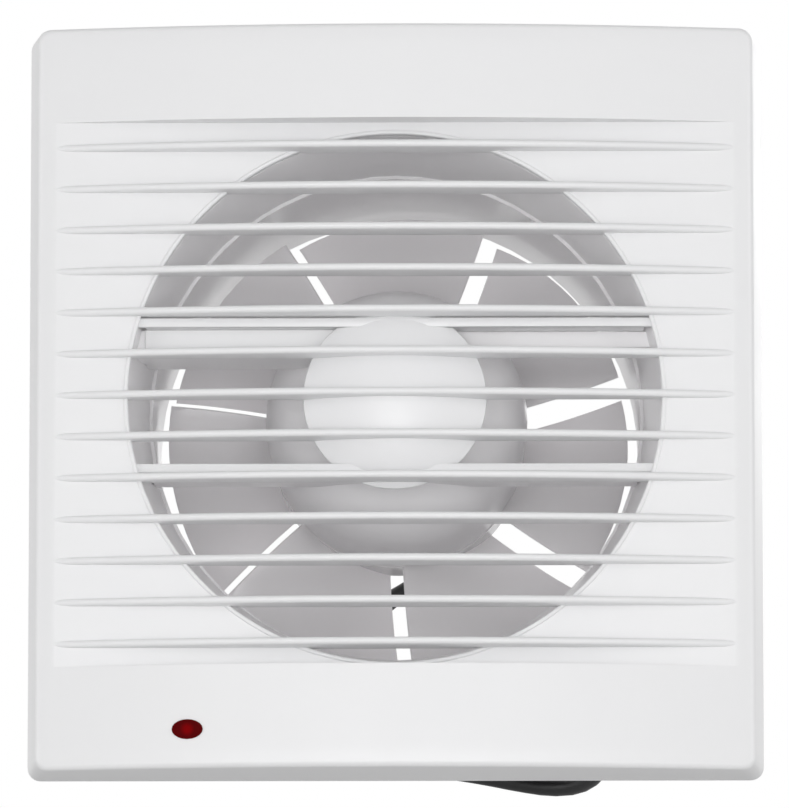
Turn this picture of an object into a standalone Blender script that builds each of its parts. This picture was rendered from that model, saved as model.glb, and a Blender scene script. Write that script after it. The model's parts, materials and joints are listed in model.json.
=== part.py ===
"""A square bathroom exhaust fan for a 125 mm round duct, held on a wall by its flange.

The wall's face is the plane y = 0. The room is at -Y, the duct runs to +Y, and +Z is up.
The origin is on the duct's axis. Sizes are in metres, written in millimetres times MM.
"""

import math

import bmesh
import bpy
import numpy as np
from mathutils import Matrix, Vector

MM = 0.001
GAP = 0.3 * MM
OVERLAP = 0.6 * MM

# Front grille: a bowed square cover with a flat recess that the slats cross.
PANEL_WIDTH = 177.5 * MM
PANEL_HEIGHT = 182.4 * MM
PANEL_SIDE_DRAFT = 2.3 * MM
PANEL_END_DRAFT = 0.8 * MM
PANEL_EDGE_Y = -16 * MM
PANEL_BOW = 8 * MM
PANEL_BACK_Y = -1 * MM
PANEL_WALL = 2.2 * MM
PANEL_CORNER = 3.2 * MM
PANEL_ROUNDING = 1.3 * MM
BOW_STEPS = 16
CORNER_STEPS = 3
ROUNDING_STEPS = 2

RECESS_Y = -16.8 * MM
RECESS_FLOOR = 2.2 * MM
RECESS_TOP_MARGIN = 2.9 * MM
RECESS_BOTTOM_MARGIN = 1.2 * MM

SLAT_COUNT = 13
SLAT_PITCH = 10.08 * MM
SLAT_THICKNESS = 1.8 * MM
SLAT_MIDDLE_Z = 0.5 * MM

CROSSBAR_TOP_Z = 18.3 * MM
CROSSBAR_BOTTOM_Z = -17.2 * MM
CROSSBAR_THICKNESS = 2.2 * MM
CROSSBAR_FRONT_Y = -16.3 * MM
CROSSBAR_BACK_Y = -8.6 * MM

BADGE_RADIUS = 22 * MM
BADGE_RIM_Y = -15 * MM
BADGE_RISE = 5.5 * MM
BADGE_WALL = 1.6 * MM

CLIP_Z = 50 * MM
CLIP_WIDTH = 8 * MM
CLIP_DEPTH = 8 * MM
CLIP_NOSE = 1.1 * MM
CLIP_NOSE_DEPTH = 2.5 * MM

# Housing: wall flange, rim, bell mouth, spigot, arms and motor cup in one moulding.
FLANGE_SIDE_CLEARANCE = 2.25 * MM
FLANGE_END_CLEARANCE = 1.3 * MM
FLANGE_THICKNESS = 2.5 * MM
FLANGE_CORNER = 3 * MM
RIM_DEPTH = 10 * MM
RIM_WALL = 1.6 * MM
SCREW_HOLE_RADIUS = 2.4 * MM
SCREW_HOLE_EDGE = 10.2 * MM

DUCT_RADIUS = 59.6 * MM
SPIGOT_WALL = 2.3 * MM
SPIGOT_LENGTH = 80 * MM
MOUTH_FLARE = 4.7 * MM
THROAT_STEP = 0.8 * MM
THROAT_Y = 18 * MM
MOUTH_WALL = 2.2 * MM
DUCT_STEPS = 64

CUP_RADIUS = 32 * MM
CUP_TAPER = 0.9 * MM
CUP_WALL = 1.6 * MM
CUP_APEX_Y = -6 * MM
CUP_SHOULDER_Y = 22 * MM
CUP_END_Y = 54 * MM
CUP_STEPS = 48

CHANNEL_TOP_Z = 17.2 * MM
CHANNEL_HEIGHT = 6.7 * MM
CHANNEL_FRONT_Y = -11 * MM
CHANNEL_WALL = 1.2 * MM
CHANNEL_FLOOR_Y = -4 * MM
CHANNEL_END_X = -14 * MM
CHANNEL_COVER_INSET = 3.9 * MM
CHANNEL_COVER_THICKNESS = 1.3 * MM
ARM_BACK_Y = 6 * MM
ARM_THICKNESS = 3.7 * MM
RIGHT_ARM_FRONT_Y = -8 * MM
LOWER_ARM_Z = -18.5 * MM
LOWER_ARM_FRONT_Y = -5 * MM
ARM_INNER_X = 14 * MM

# Motor: a shaft in two plain bearings, with its core, windings and rotor.
SHAFT_RADIUS = 2 * MM
SHAFT_FRONT_Y = -1.5 * MM
SHAFT_STEPS = 24
BEARING_RADIUS = 5 * MM
BEARING_LENGTH = 8 * MM
FRONT_BEARING_Y = 0
BOSS_WALL = 2.2 * MM
BOSS_LIP = 1.2 * MM

CORE_CLEARANCE = 0.4 * MM
CORE_LENGTH = 20 * MM
CORE_FRONT_Y = 20 * MM
ROTOR_RADIUS = 12.2 * MM
AIR_GAP = 0.5 * MM
WINDING_INSET = 1 * MM
WINDING_STAND_OFF = 2.3 * MM
WINDING_DEPTH = 4 * MM

END_PLATE_THICKNESS = 2.5 * MM
END_PLATE_INSET = 3.5 * MM
POST_RADIUS = 2.6 * MM
POST_COUNT = 3
MOTOR_SCREW_RADIUS = 1.3 * MM
MOTOR_SCREW_LENGTH = 11 * MM
MOTOR_SCREW_HEAD = 2.3 * MM
MOTOR_SCREW_HEAD_HEIGHT = 1.6 * MM

# Impeller: an open hub with seven twisted blades.
BLADE_COUNT = 7
BLADE_TIP_CLEARANCE = 2.6 * MM
BLADE_THICKNESS = 1.5 * MM
BLADE_GAP = 3.3 * MM
BLADE_PHASE = 39
BLADE_SWEEP = 3
BLADE_CAMBER = 1.6 * MM
BLADE_CORNER = 3.5 * MM
BLADE_FRONT_INSET = 1.2 * MM
BLADE_CHORD_STEPS = 6
BLADE_SPAN_STEPS = 5
HUB_RADIUS = 31.2 * MM
HUB_WALL = 1.7 * MM
HUB_RUNNING_GAP = 2 * MM
HUB_LENGTH = 16 * MM
HUB_WEB = 2.5 * MM
HUB_BOSS_RADIUS = 6 * MM
WASHER_THICKNESS = 1 * MM
NUT_RADIUS = 5 * MM
NUT_THICKNESS = 3.6 * MM
SHAFT_STANDS_PROUD = 1 * MM

# Indicator: an oval lens in the cover, over a lamp on a small board.
LENS_X = -49.6 * MM
LENS_EDGE = 10.1 * MM
LENS_WIDTH = 7.5 * MM
LENS_HEIGHT = 4.8 * MM
LENS_PROUD = 0.6 * MM
LENS_FLANGE = 1.2 * MM
LENS_FLANGE_THICKNESS = 1 * MM
LAMP_RADIUS = 1.5 * MM
BOARD_WIDTH = 16 * MM
BOARD_HEIGHT = 9 * MM
BOARD_THICKNESS = 1.6 * MM
BOARD_Y = -9.6 * MM
BOARD_POST_RADIUS = 2 * MM

# Terminal block and the leads.
BLOCK_X = 33 * MM
BLOCK_EDGE = 1 * MM
BLOCK_WIDTH = 12 * MM
BLOCK_HEIGHT = 14 * MM
BLOCK_DEPTH = 7 * MM
BLOCK_SCREW_RADIUS = 1.6 * MM
BLOCK_SCREW_PROUD = 0.5 * MM
BLOCK_WAY_PITCH = 6 * MM
LEAD_RADIUS = 0.8 * MM
LEAD_PITCH = 2.3 * MM
LEAD_Y = -5 * MM
LEAD_DROP = 16 * MM
LEAD_TURN = 5 * MM
LEAD_FOOT_EDGE = 17 * MM

# Supply cord: strain relief, a loose loop behind the spigot, a tied coil and a plug.
CORD_DIAMETER = 4.4 * MM
CORD_X = 50.5 * MM
CORD_Z = -68 * MM
RELIEF_FLANGE_RADIUS = 6.5 * MM
RELIEF_FLANGE_THICKNESS = 2 * MM
RELIEF_RADIUS = 4.5 * MM
RELIEF_TIP_RADIUS = 3 * MM
RELIEF_LENGTH = 26 * MM
CORD_ROUTE_POINTS = 60
CORD_ROUTE = [
    (50.7, 38.3, -69),
    (51.1, 45.4, -72.5),
    (51.2, 52.2, -76.8),
    (50, 58.8, -80.6),
    (47.2, 64.8, -83.1),
    (42.7, 69.8, -84.2),
    (36.8, 73.5, -83.9),
    (29.8, 75.7, -82.6),
    (22.3, 76.8, -81),
    (14.6, 77.6, -79.6),
    (7, 79, -78.4),
    (0.1, 81.6, -76.7),
    (-5.4, 85.2, -73.5),
    (-9.2, 88.7, -68.3),
    (-11.4, 91.2, -61.5),
    (-11.8, 92.5, -53.8),
    (-10.3, 92.9, -46.3),
    (-6.9, 92.9, -39.4),
    (-1.8, 92.7, -33.9),
    (4.8, 92.4, -30.3),
    (12.3, 92.1, -28.6),
    (20.1, 91.8, -28.4),
    (27.9, 91.4, -29.4),
    (35.3, 90.6, -31.6),
    (41.8, 89.2, -35.3),
    (46.5, 86.8, -40.4),
    (49, 83.3, -46.4),
    (49.3, 78.5, -52.3),
    (47.6, 72.9, -57.4),
    (45, 66.6, -61.5),
    (42.5, 59.7, -64.2),
]
COIL_X = 9 * MM
COIL_Y = 43 * MM
COIL_TOP_Z = -64.9 * MM
COIL_INNER_RADIUS = 18 * MM
COIL_PITCH = 4.9 * MM
COIL_TURNS_IN = 3
COIL_TURNS_OUT = 3.25
COIL_POINTS_A_TURN = 24
COIL_CLIMB_TURNS = 0.5
LEAST_CORD_GAP = 0.4 * MM
TIE_ANGLE = -40
TIE_WIDTH = 6 * MM
TIE_THICKNESS = 1 * MM
TIE_CLEARANCE = 0.5 * MM

PLUG_RELIEF_LENGTH = 20 * MM
PLUG_RELIEF_START_X = -12 * MM
PLUG_BODY_LENGTH = 30 * MM
PLUG_THICKNESS = 13.6 * MM
PLUG_WIDTH = 34 * MM
PLUG_NECK_WIDTH = 13 * MM
PLUG_FULL_WIDTH_AT = 0.62
PIN_LENGTH = 19 * MM
PIN_RADIUS = 2.05 * MM
PIN_PITCH = 18.6 * MM

WHITE = (0.83, 0.82, 0.83, 1)
SHADE_WHITE = (0.74, 0.73, 0.74, 1)
IMPELLER_WHITE = (0.60, 0.58, 0.59, 1)
LENS_RED = (0.30, 0.008, 0.012, 1)
BLACK = (0.02, 0.02, 0.022, 1)
STEEL = (0.55, 0.55, 0.57, 1)
BRASS = (0.72, 0.55, 0.28, 1)
COPPER = (0.60, 0.26, 0.13, 1)
BRONZE = (0.45, 0.30, 0.17, 1)
LAMINATION = (0.24, 0.24, 0.26, 1)
BOARD_GREEN = (0.05, 0.20, 0.09, 1)
BLOCK_CREAM = (0.78, 0.75, 0.66, 1)
LEAD_BROWN = (0.16, 0.07, 0.03, 1)

# Places that follow from the sizes above.
PANEL_CENTRE_Y = PANEL_EDGE_Y - PANEL_BOW
FLANGE_WIDTH = PANEL_WIDTH - 2 * (PANEL_WALL + FLANGE_SIDE_CLEARANCE)
FLANGE_HEIGHT = PANEL_HEIGHT - 2 * (PANEL_WALL + FLANGE_END_CLEARANCE)
SCREW_HOLE_X = FLANGE_WIDTH / 2 - SCREW_HOLE_EDGE
SCREW_HOLE_Z = FLANGE_HEIGHT / 2 - SCREW_HOLE_EDGE
LENS_Z = LENS_EDGE - PANEL_HEIGHT / 2
BLOCK_Z = RIM_WALL + BLOCK_EDGE + BLOCK_HEIGHT / 2 - FLANGE_HEIGHT / 2
LEAD_FOOT_Z = LEAD_FOOT_EDGE - FLANGE_HEIGHT / 2
OPENING_RADIUS = DUCT_RADIUS + MOUTH_FLARE
SPIGOT_RADIUS = DUCT_RADIUS + SPIGOT_WALL
MOUTH_OUTER = OPENING_RADIUS + MOUTH_WALL
RECESS_TOP = OPENING_RADIUS + RECESS_TOP_MARGIN
RECESS_BOTTOM = -OPENING_RADIUS - RECESS_BOTTOM_MARGIN
CHANNEL_COVER_X = CHANNEL_COVER_INSET - OPENING_RADIUS
LEAD_SIDE_X = -(FLANGE_WIDTH / 2 - RIM_WALL + MOUTH_OUTER) / 2
CUP_END_RADIUS = CUP_RADIUS - CUP_TAPER
POST_CIRCLE = CUP_END_RADIUS - CUP_WALL - POST_RADIUS - GAP
CORE_RADIUS = POST_CIRCLE - POST_RADIUS - CORE_CLEARANCE
WINDING_OUTER = CORE_RADIUS - WINDING_INSET
WINDING_INNER = ROTOR_RADIUS + AIR_GAP + WINDING_STAND_OFF
BLADE_TIP_RADIUS = DUCT_RADIUS - BLADE_TIP_CLEARANCE
PANEL_FRONT_HALF = PANEL_WIDTH / 2 - PANEL_SIDE_DRAFT
CLIP_OUTER_X = PANEL_WIDTH / 2 - (PANEL_SIDE_DRAFT + PANEL_WALL) / 2
FLOOR_BACK_Y = RECESS_Y + RECESS_FLOOR
MOUTH_FRONT_Y = FLOOR_BACK_Y + GAP
BORE_RADIUS = SHAFT_RADIUS + GAP
SEAT_RADIUS = BEARING_RADIUS + GAP
END_PLATE_Y = CUP_END_Y - END_PLATE_INSET - END_PLATE_THICKNESS
REAR_BEARING_Y = END_PLATE_Y - 2 * MM
REAR_BEARING_END_Y = REAR_BEARING_Y + BEARING_LENGTH
WASHER_Y = REAR_BEARING_END_Y + GAP
HUB_BOSS_Y = WASHER_Y + WASHER_THICKNESS + GAP
HUB_FRONT_Y = CUP_END_Y + HUB_RUNNING_GAP
HUB_BACK_Y = HUB_FRONT_Y + HUB_LENGTH
NUT_Y = HUB_BACK_Y + GAP
SHAFT_BACK_Y = NUT_Y + NUT_THICKNESS + SHAFT_STANDS_PROUD
CHANNEL_BOTTOM_Z = CHANNEL_TOP_Z - CHANNEL_HEIGHT
CHANNEL_MIDDLE_Z = CHANNEL_TOP_Z - CHANNEL_HEIGHT / 2
COIL_OUTER_RADIUS = COIL_INNER_RADIUS + COIL_PITCH * COIL_TURNS_IN
COIL_LAST_RADIUS = COIL_INNER_RADIUS + COIL_PITCH * COIL_TURNS_OUT
COIL_BOTTOM_Z = COIL_TOP_Z - COIL_PITCH
PLUG_Y = COIL_Y - COIL_LAST_RADIUS


def panel_face_y(x):
    """The bowed front face's place along Y, at a distance x from the middle."""
    return PANEL_EDGE_Y - PANEL_BOW * (1 - (x / PANEL_FRONT_HALF) ** 2)


def mouth_radius(y):
    """The inner radius of the bell mouth, from the opening down to the throat."""
    share = max(0.0, (THROAT_Y - y) / (THROAT_Y - MOUTH_FRONT_Y))
    return DUCT_RADIUS + THROAT_STEP + (OPENING_RADIUS - DUCT_RADIUS - THROAT_STEP) * share**1.8


def start_scene():
    for old in list(bpy.data.objects):
        bpy.data.objects.remove(old, do_unlink=True)
    made = []
    for name in ("bathroom_exhaust_fan", "cutters"):
        collection = bpy.data.collections.new(name)
        bpy.context.scene.collection.children.link(collection)
        made.append(collection)
    return made


PARTS, CUTTERS = start_scene()


def finish(name, colour, roughness, metallic=0.0):
    material = bpy.data.materials.new(name)
    material.use_nodes = True
    shader = material.node_tree.nodes["Principled BSDF"]
    shader.inputs["Base Color"].default_value = colour
    shader.inputs["Roughness"].default_value = roughness
    shader.inputs["Metallic"].default_value = metallic
    return material


FINISHES = {
    "cover_white": finish("cover_white", WHITE, 0.3),
    "housing_white": finish("housing_white", SHADE_WHITE, 0.4),
    "impeller_white": finish("impeller_white", IMPELLER_WHITE, 0.35),
    "lens_red": finish("lens_red", LENS_RED, 0.15),
    "black_rubber": finish("black_rubber", BLACK, 0.5),
    "steel": finish("steel", STEEL, 0.35, 1.0),
    "brass": finish("brass", BRASS, 0.35, 1.0),
    "copper": finish("copper", COPPER, 0.4, 1.0),
    "bronze": finish("bronze", BRONZE, 0.5, 1.0),
    "lamination": finish("lamination", LAMINATION, 0.55, 1.0),
    "board_green": finish("board_green", BOARD_GREEN, 0.5),
    "block_cream": finish("block_cream", BLOCK_CREAM, 0.45),
    "lead_brown": finish("lead_brown", LEAD_BROWN, 0.45),
}


def new_object(name, data, helper=False):
    made = bpy.data.objects.new(name, data)
    (CUTTERS if helper else PARTS).objects.link(made)
    if helper:
        made.hide_render = True
        made.display_type = "WIRE"
    return made


def part(made, name, slot, smooth=True):
    """Turns a finished shape into the named sub-part, with its material."""
    made.name = name
    made.hide_render = False
    made.display_type = "TEXTURED"
    if made.name in CUTTERS.objects:
        CUTTERS.objects.unlink(made)
        PARTS.objects.link(made)
    made.data.materials.clear()
    made.data.materials.append(FINISHES[slot])
    if smooth and made.type == "MESH":
        made.data.shade_smooth()
        made.data.set_sharp_from_angle(angle=math.radians(35))
    return made


def from_bmesh(name, shape):
    mesh = bpy.data.meshes.new(name)
    shape.to_mesh(mesh)
    shape.free()
    return new_object(name, mesh, helper=True)


def box(name, low, high):
    shape = bmesh.new()
    bmesh.ops.create_cube(shape, size=1)
    low, high = Vector(low), Vector(high)
    bmesh.ops.scale(shape, vec=high - low, verts=shape.verts)
    bmesh.ops.translate(shape, vec=(high + low) / 2, verts=shape.verts)
    return from_bmesh(name, shape)


def rounded_box(name, low, high, radius, axis=1, segments=2):
    """A box whose four edges along one axis are rounded."""
    made = box(name, low, high)
    shape = bmesh.new()
    shape.from_mesh(made.data)
    edges = [e for e in shape.edges if abs((e.verts[0].co - e.verts[1].co).normalized()[axis]) > 0.99]
    bmesh.ops.bevel(shape, geom=edges, offset=radius, segments=segments, profile=0.5, affect="EDGES")
    shape.to_mesh(made.data)
    shape.free()
    return made


AXIS_TURNS = {
    "X": Matrix.Rotation(math.pi / 2, 4, "Y"),
    "Y": Matrix.Rotation(-math.pi / 2, 4, "X"),
    "Z": Matrix.Identity(4),
}


def cone(name, radius_low, radius_high, low, high, middle, axis="Y", steps=SHAFT_STEPS):
    """A cylinder or cone along an axis, from low to high on it, about a middle point."""
    shape = bmesh.new()
    bmesh.ops.create_cone(
        shape, cap_ends=True, segments=steps, radius1=radius_low, radius2=radius_high, depth=high - low
    )
    bmesh.ops.transform(shape, matrix=AXIS_TURNS[axis], verts=shape.verts)
    place = Vector(middle)
    place["XYZ".index(axis)] = (low + high) / 2
    bmesh.ops.translate(shape, vec=place, verts=shape.verts)
    return from_bmesh(name, shape)


def rod(name, radius, low, high, middle=(0, 0, 0), axis="Y", steps=SHAFT_STEPS):
    return cone(name, radius, radius, low, high, middle, axis, steps)


def turned(name, profile, steps):
    """A solid turned about the Y axis from a closed outline of (radius, y) points.

    The outline goes round with its outer side running towards +Y. Points on the axis
    have radius 0.
    """
    mesh = bpy.data.meshes.new(name)
    shape = bmesh.new()
    points = [shape.verts.new((radius, y, 0)) for radius, y in profile]
    closed = profile[0][0] > 0 or profile[-1][0] > 0
    for first, second in zip(points, points[1:] + points[:1] if closed else points[1:]):
        shape.edges.new((first, second))
    shape.to_mesh(mesh)
    shape.free()
    made = new_object(name, mesh, helper=True)
    screw = made.modifiers.new("turn", "SCREW")
    screw.axis = "Y"
    screw.steps = screw.render_steps = steps
    screw.use_merge_vertices = True
    screw.merge_threshold = 0.00001
    return baked(made, outward=True)


def baked(made, outward=False):
    """Replaces an object's mesh by what its modifiers make of it."""
    graph = bpy.context.evaluated_depsgraph_get()
    graph.update()
    mesh = bpy.data.meshes.new_from_object(made.evaluated_get(graph))
    made.modifiers.clear()
    if made.type == "CURVE":
        replaced = new_object(made.name + "_mesh", mesh, helper=True)
        replaced.matrix_world = made.matrix_world
        bpy.data.objects.remove(made, do_unlink=True)
        made = replaced
    else:
        made.data = mesh
    shape = bmesh.new()
    shape.from_mesh(mesh)
    bmesh.ops.remove_doubles(shape, verts=shape.verts, dist=0.000002)
    if outward:
        bmesh.ops.recalc_face_normals(shape, faces=shape.faces)
    shape.to_mesh(mesh)
    shape.free()
    return made


def combine(target, others, operation):
    """Joins solids to a target, or cuts them from it, and removes them."""
    for other in others:
        step = target.modifiers.new(operation.lower(), "BOOLEAN")
        step.operation = operation
        step.object = other
        step.solver = "EXACT"
        baked(target)
        bpy.data.objects.remove(other, do_unlink=True)
    return target


def join(target, *others):
    return combine(target, others, "UNION")


def cut(target, *others):
    return combine(target, others, "DIFFERENCE")


def keep_inside(target, other):
    return combine(target, [other], "INTERSECT")


def group(name, pieces):
    """Puts separate solids into one object."""
    shape = bmesh.new()
    for piece in pieces:
        shape.from_mesh(piece.data)
        bpy.data.objects.remove(piece, do_unlink=True)
    return from_bmesh(name, shape)


def outline_solid(name, points, depth, plane="XY"):
    """A flat outline, pushed along the third axis by half its depth each way."""
    curve = bpy.data.curves.new(name, "CURVE")
    curve.dimensions = "2D"
    curve.fill_mode = "BOTH"
    curve.extrude = depth / 2
    spline = curve.splines.new("POLY")
    spline.points.add(len(points) - 1)
    spline.use_cyclic_u = True
    for point, (a, b) in zip(spline.points, points):
        point.co = (a, b, 0, 1)
    made = new_object(name, curve, helper=True)
    turn = {"XY": Matrix.Identity(4), "XZ": Matrix.Rotation(math.pi / 2, 4, "X")}[plane]
    made = baked(made, outward=True)
    made.data.transform(turn)
    return made


def tube(name, points, radius, resolution=2):
    """A round tube along points, with filled ends."""
    curve = bpy.data.curves.new(name, "CURVE")
    curve.dimensions = "3D"
    curve.bevel_depth = radius
    curve.bevel_resolution = resolution
    curve.use_fill_caps = True
    curve.twist_mode = "MINIMUM"
    spline = curve.splines.new("POLY")
    spline.points.add(len(points) - 1)
    for point, place in zip(spline.points, points):
        point.co = (*place, 1)
    return new_object(name, curve, helper=True)


def smooth_route(points, count):
    """Evenly spaced points on a smooth curve through the given ones."""
    knots = [2 * points[0] - points[1], *points, 2 * points[-1] - points[-2]]
    dense = []
    steps = 24
    for before, start, end, after in zip(knots, knots[1:], knots[2:], knots[3:]):
        for step in range(steps):
            t = step / steps
            dense.append(
                0.5
                * (
                    2 * start
                    + (end - before) * t
                    + (2 * before - 5 * start + 4 * end - after) * t**2
                    + (3 * start - before - 3 * end + after) * t**3
                )
            )
    dense.append(points[-1])
    run = [0.0]
    for first, second in zip(dense, dense[1:]):
        run.append(run[-1] + (second - first).length)
    axes = np.array([tuple(p) for p in dense])
    wanted = np.linspace(0, run[-1], count)
    return [Vector(p) for p in np.stack([np.interp(wanted, run, axes[:, i]) for i in range(3)], axis=1)]


def route_length(points):
    return sum((b - a).length for a, b in zip(points, points[1:]))


def bowed_block(name, inset, front_inset, back_y, rounding=0.0):
    """The cover's outer block, or with an inset the hollow inside it."""
    shape = bmesh.new()
    corner = max(PANEL_CORNER - inset, 1.4 * MM)

    def ring(half_w, half_h, radius, depth_at):
        turns = [math.pi / 2 * i / CORNER_STEPS for i in range(CORNER_STEPS)]
        left = [
            (-half_w + radius * (1 - math.cos(a)), half_h - radius * (1 - math.sin(a))) for a in turns
        ]
        flat = half_w - radius
        middle = [(flat * (2 * i / BOW_STEPS - 1), half_h) for i in range(BOW_STEPS + 1)]
        top = left + middle + [(-x, z) for x, z in reversed(left)]
        outline = top + [(x, -z) for x, z in reversed(top)]
        return [shape.verts.new((x, depth_at(x), z)) for x, z in outline]

    rings = [ring(PANEL_WIDTH / 2 - inset, PANEL_HEIGHT / 2 - inset, corner, lambda x: back_y)]
    for i in range(ROUNDING_STEPS + 1) if rounding else [ROUNDING_STEPS]:
        turn = math.pi / 2 * i / ROUNDING_STEPS
        pull, rise = rounding * (1 - math.cos(turn)), rounding * (1 - math.sin(turn))
        rings.append(
            ring(
                PANEL_FRONT_HALF - inset - pull,
                PANEL_HEIGHT / 2 - PANEL_END_DRAFT - inset - pull,
                corner - pull,
                lambda x: panel_face_y(x) + front_inset + rise,
            )
        )
    count = len(rings[0])
    for back, front in zip(rings, rings[1:]):
        for i in range(count):
            j = (i + 1) % count
            shape.faces.new((back[i], back[j], front[j], front[i]))
    for end in (rings[0], rings[-1]):
        for i in range(count // 2 - 1):
            shape.faces.new((end[i], end[i + 1], end[count - 2 - i], end[count - 1 - i]))
    bmesh.ops.recalc_face_normals(shape, faces=shape.faces)
    return from_bmesh(name, shape)


def front_grille():
    """The cover: shell, recess floor with its round opening, slats, cross bars and round badge boss."""
    shell = bowed_block("shell", 0, 0, PANEL_BACK_Y, PANEL_ROUNDING)
    hollow = bowed_block("hollow", PANEL_WALL, PANEL_WALL, PANEL_BACK_Y + OVERLAP)
    cut(shell, hollow)

    wide = PANEL_WIDTH / 2
    inner = PANEL_FRONT_HALF - PANEL_WALL / 2
    recess = box("recess", (-wide, PANEL_CENTRE_Y - OVERLAP, RECESS_BOTTOM), (wide, RECESS_Y, RECESS_TOP))
    cut(shell, recess)
    floor = box(
        "floor",
        (-inner, RECESS_Y, RECESS_BOTTOM - PANEL_WALL),
        (inner, FLOOR_BACK_Y, RECESS_TOP + PANEL_WALL),
    )
    lips = [
        box(
            "lip",
            (-inner, PANEL_CENTRE_Y, z - PANEL_WALL / 2),
            (inner, FLOOR_BACK_Y, z + PANEL_WALL / 2),
        )
        for z in (RECESS_BOTTOM - PANEL_WALL / 2, RECESS_TOP + PANEL_WALL / 2)
    ]
    skin = bowed_block("skin", 0, 0.4 * MM, PANEL_BACK_Y)
    for lip in lips:
        join(floor, lip)
    keep_inside(floor, skin)
    opening = rod("opening", OPENING_RADIUS, PANEL_CENTRE_Y, 0, steps=DUCT_STEPS)
    cut(floor, opening)
    join(shell, floor)

    reach = PANEL_FRONT_HALF - 2 * MM
    top_z = SLAT_MIDDLE_Z + SLAT_PITCH * (SLAT_COUNT - 1) / 2
    slats = [
        box(
            "slat",
            (-reach, PANEL_CENTRE_Y - OVERLAP, top_z - SLAT_PITCH * i - SLAT_THICKNESS / 2),
            (reach, FLOOR_BACK_Y - 0.2 * MM, top_z - SLAT_PITCH * i + SLAT_THICKNESS / 2),
        )
        for i in range(SLAT_COUNT)
    ]
    slats = group("slats", slats)
    keep_inside(slats, bowed_block("slat_faces", 0, 0.02 * MM, PANEL_BACK_Y))

    throat = rod("throat", mouth_radius(CROSSBAR_BACK_Y) - 2 * GAP, PANEL_CENTRE_Y, 0, steps=DUCT_STEPS)
    bars = []
    for z in (CROSSBAR_TOP_Z, CROSSBAR_BOTTOM_Z):
        low, high = z - CROSSBAR_THICKNESS / 2, z + CROSSBAR_THICKNESS / 2
        bars.append(
            box("bar", (-OPENING_RADIUS, CROSSBAR_FRONT_Y, low), (OPENING_RADIUS, CROSSBAR_BACK_Y, high))
        )
    bars = group("bars", bars)
    keep_inside(bars, throat)
    webs = [
        box(
            "web",
            (-OPENING_RADIUS - OVERLAP, CROSSBAR_FRONT_Y, z - CROSSBAR_THICKNESS / 2 + 0.1 * MM),
            (OPENING_RADIUS + OVERLAP, FLOOR_BACK_Y - 0.1 * MM, z + CROSSBAR_THICKNESS / 2 - 0.1 * MM),
        )
        for z in (CROSSBAR_TOP_Z, CROSSBAR_BOTTOM_Z)
    ]
    join(bars, group("webs", webs))
    badge = domed_disc("badge", BADGE_RADIUS, BADGE_RIM_Y, BADGE_RISE, BADGE_WALL)
    join(shell, slats, bars, badge)
    clip_foot_x = FLANGE_WIDTH / 2 + GAP
    feet = []
    for side in (-1, 1):
        for z in (-CLIP_Z, CLIP_Z):
            low_x, high_x = sorted((side * clip_foot_x, side * CLIP_OUTER_X))
            low = (low_x, PANEL_BACK_Y - CLIP_DEPTH, z - CLIP_WIDTH / 2)
            feet.append(box("foot", low, (high_x, PANEL_BACK_Y - MM, z + CLIP_WIDTH / 2)))
    noses = clip_boxes("nose", 0, FLANGE_WIDTH / 2 - CLIP_NOSE)
    join(shell, join(group("feet", feet), group("noses", noses)))

    lens_hole = oval_rod("lens_hole", 2 * GAP, PANEL_CENTRE_Y - OVERLAP, PANEL_EDGE_Y + PANEL_WALL)
    cut(shell, lens_hole)
    return part(shell, "front_grille", "cover_white")


def domed_disc(name, radius, rim_y, rise, wall):
    """A shallow dome that bulges towards the room, hollow behind."""
    steps = 6
    outer = [(radius * i / steps, rim_y - rise * (1 - (i / steps) ** 2)) for i in range(steps + 1)]
    inner = [(max(0.0, r - wall * r / radius), y + wall) for r, y in reversed(outer)]
    return turned(name, outer + inner, 32)


def oval_rod(name, extra, low, high, steps=20):
    made = rod(name, 1, low, high, steps=steps)
    for vertex in made.data.vertices:
        vertex.co.x = vertex.co.x * (LENS_WIDTH + extra) / 2 + LENS_X
        vertex.co.z = vertex.co.z * (LENS_HEIGHT + extra) / 2 + LENS_Z
    return made


def cup_radius(y):
    """The motor cup's outer radius: a dome in front, then a slight taper to its open end."""
    if y < CUP_SHOULDER_Y:
        share = (CUP_SHOULDER_Y - y) / (CUP_SHOULDER_Y - CUP_APEX_Y)
        return CUP_RADIUS * math.sqrt(max(0.0, 1 - share**2))
    share = (y - CUP_SHOULDER_Y) / (CUP_END_Y - CUP_SHOULDER_Y)
    return CUP_RADIUS + (CUP_END_RADIUS - CUP_RADIUS) * share


def cup_profile(inset, end_y):
    steps = 7
    depth = CUP_SHOULDER_Y - CUP_APEX_Y
    points = []
    for i in range(steps + 1):
        turn = math.pi / 2 * i / steps
        points.append(
            (
                (CUP_RADIUS - inset) * math.sin(turn),
                CUP_SHOULDER_Y - (depth - inset) * math.cos(turn),
            )
        )
    points.append((cup_radius(CUP_END_Y) - inset, end_y))
    return points


def post_places():
    turns = [2 * math.pi * (i / POST_COUNT + 0.25) for i in range(POST_COUNT)]
    return [(POST_CIRCLE * math.cos(a), 0, POST_CIRCLE * math.sin(a)) for a in turns]


def duct_profile(inset):
    """The outside of the bell mouth and spigot, filled to the axis."""
    middle_y = -FLANGE_THICKNESS / 2
    wall = MOUTH_WALL - inset
    steps = 4
    depths = [MOUTH_FRONT_Y + (middle_y - MOUTH_FRONT_Y) * i / steps for i in range(steps + 1)]
    return [
        (0, MOUTH_FRONT_Y),
        *[(mouth_radius(y) + wall, y) for y in depths],
        (SPIGOT_RADIUS - inset, middle_y),
        (SPIGOT_RADIUS - inset, SPIGOT_LENGTH),
        (0, SPIGOT_LENGTH),
    ]


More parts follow.
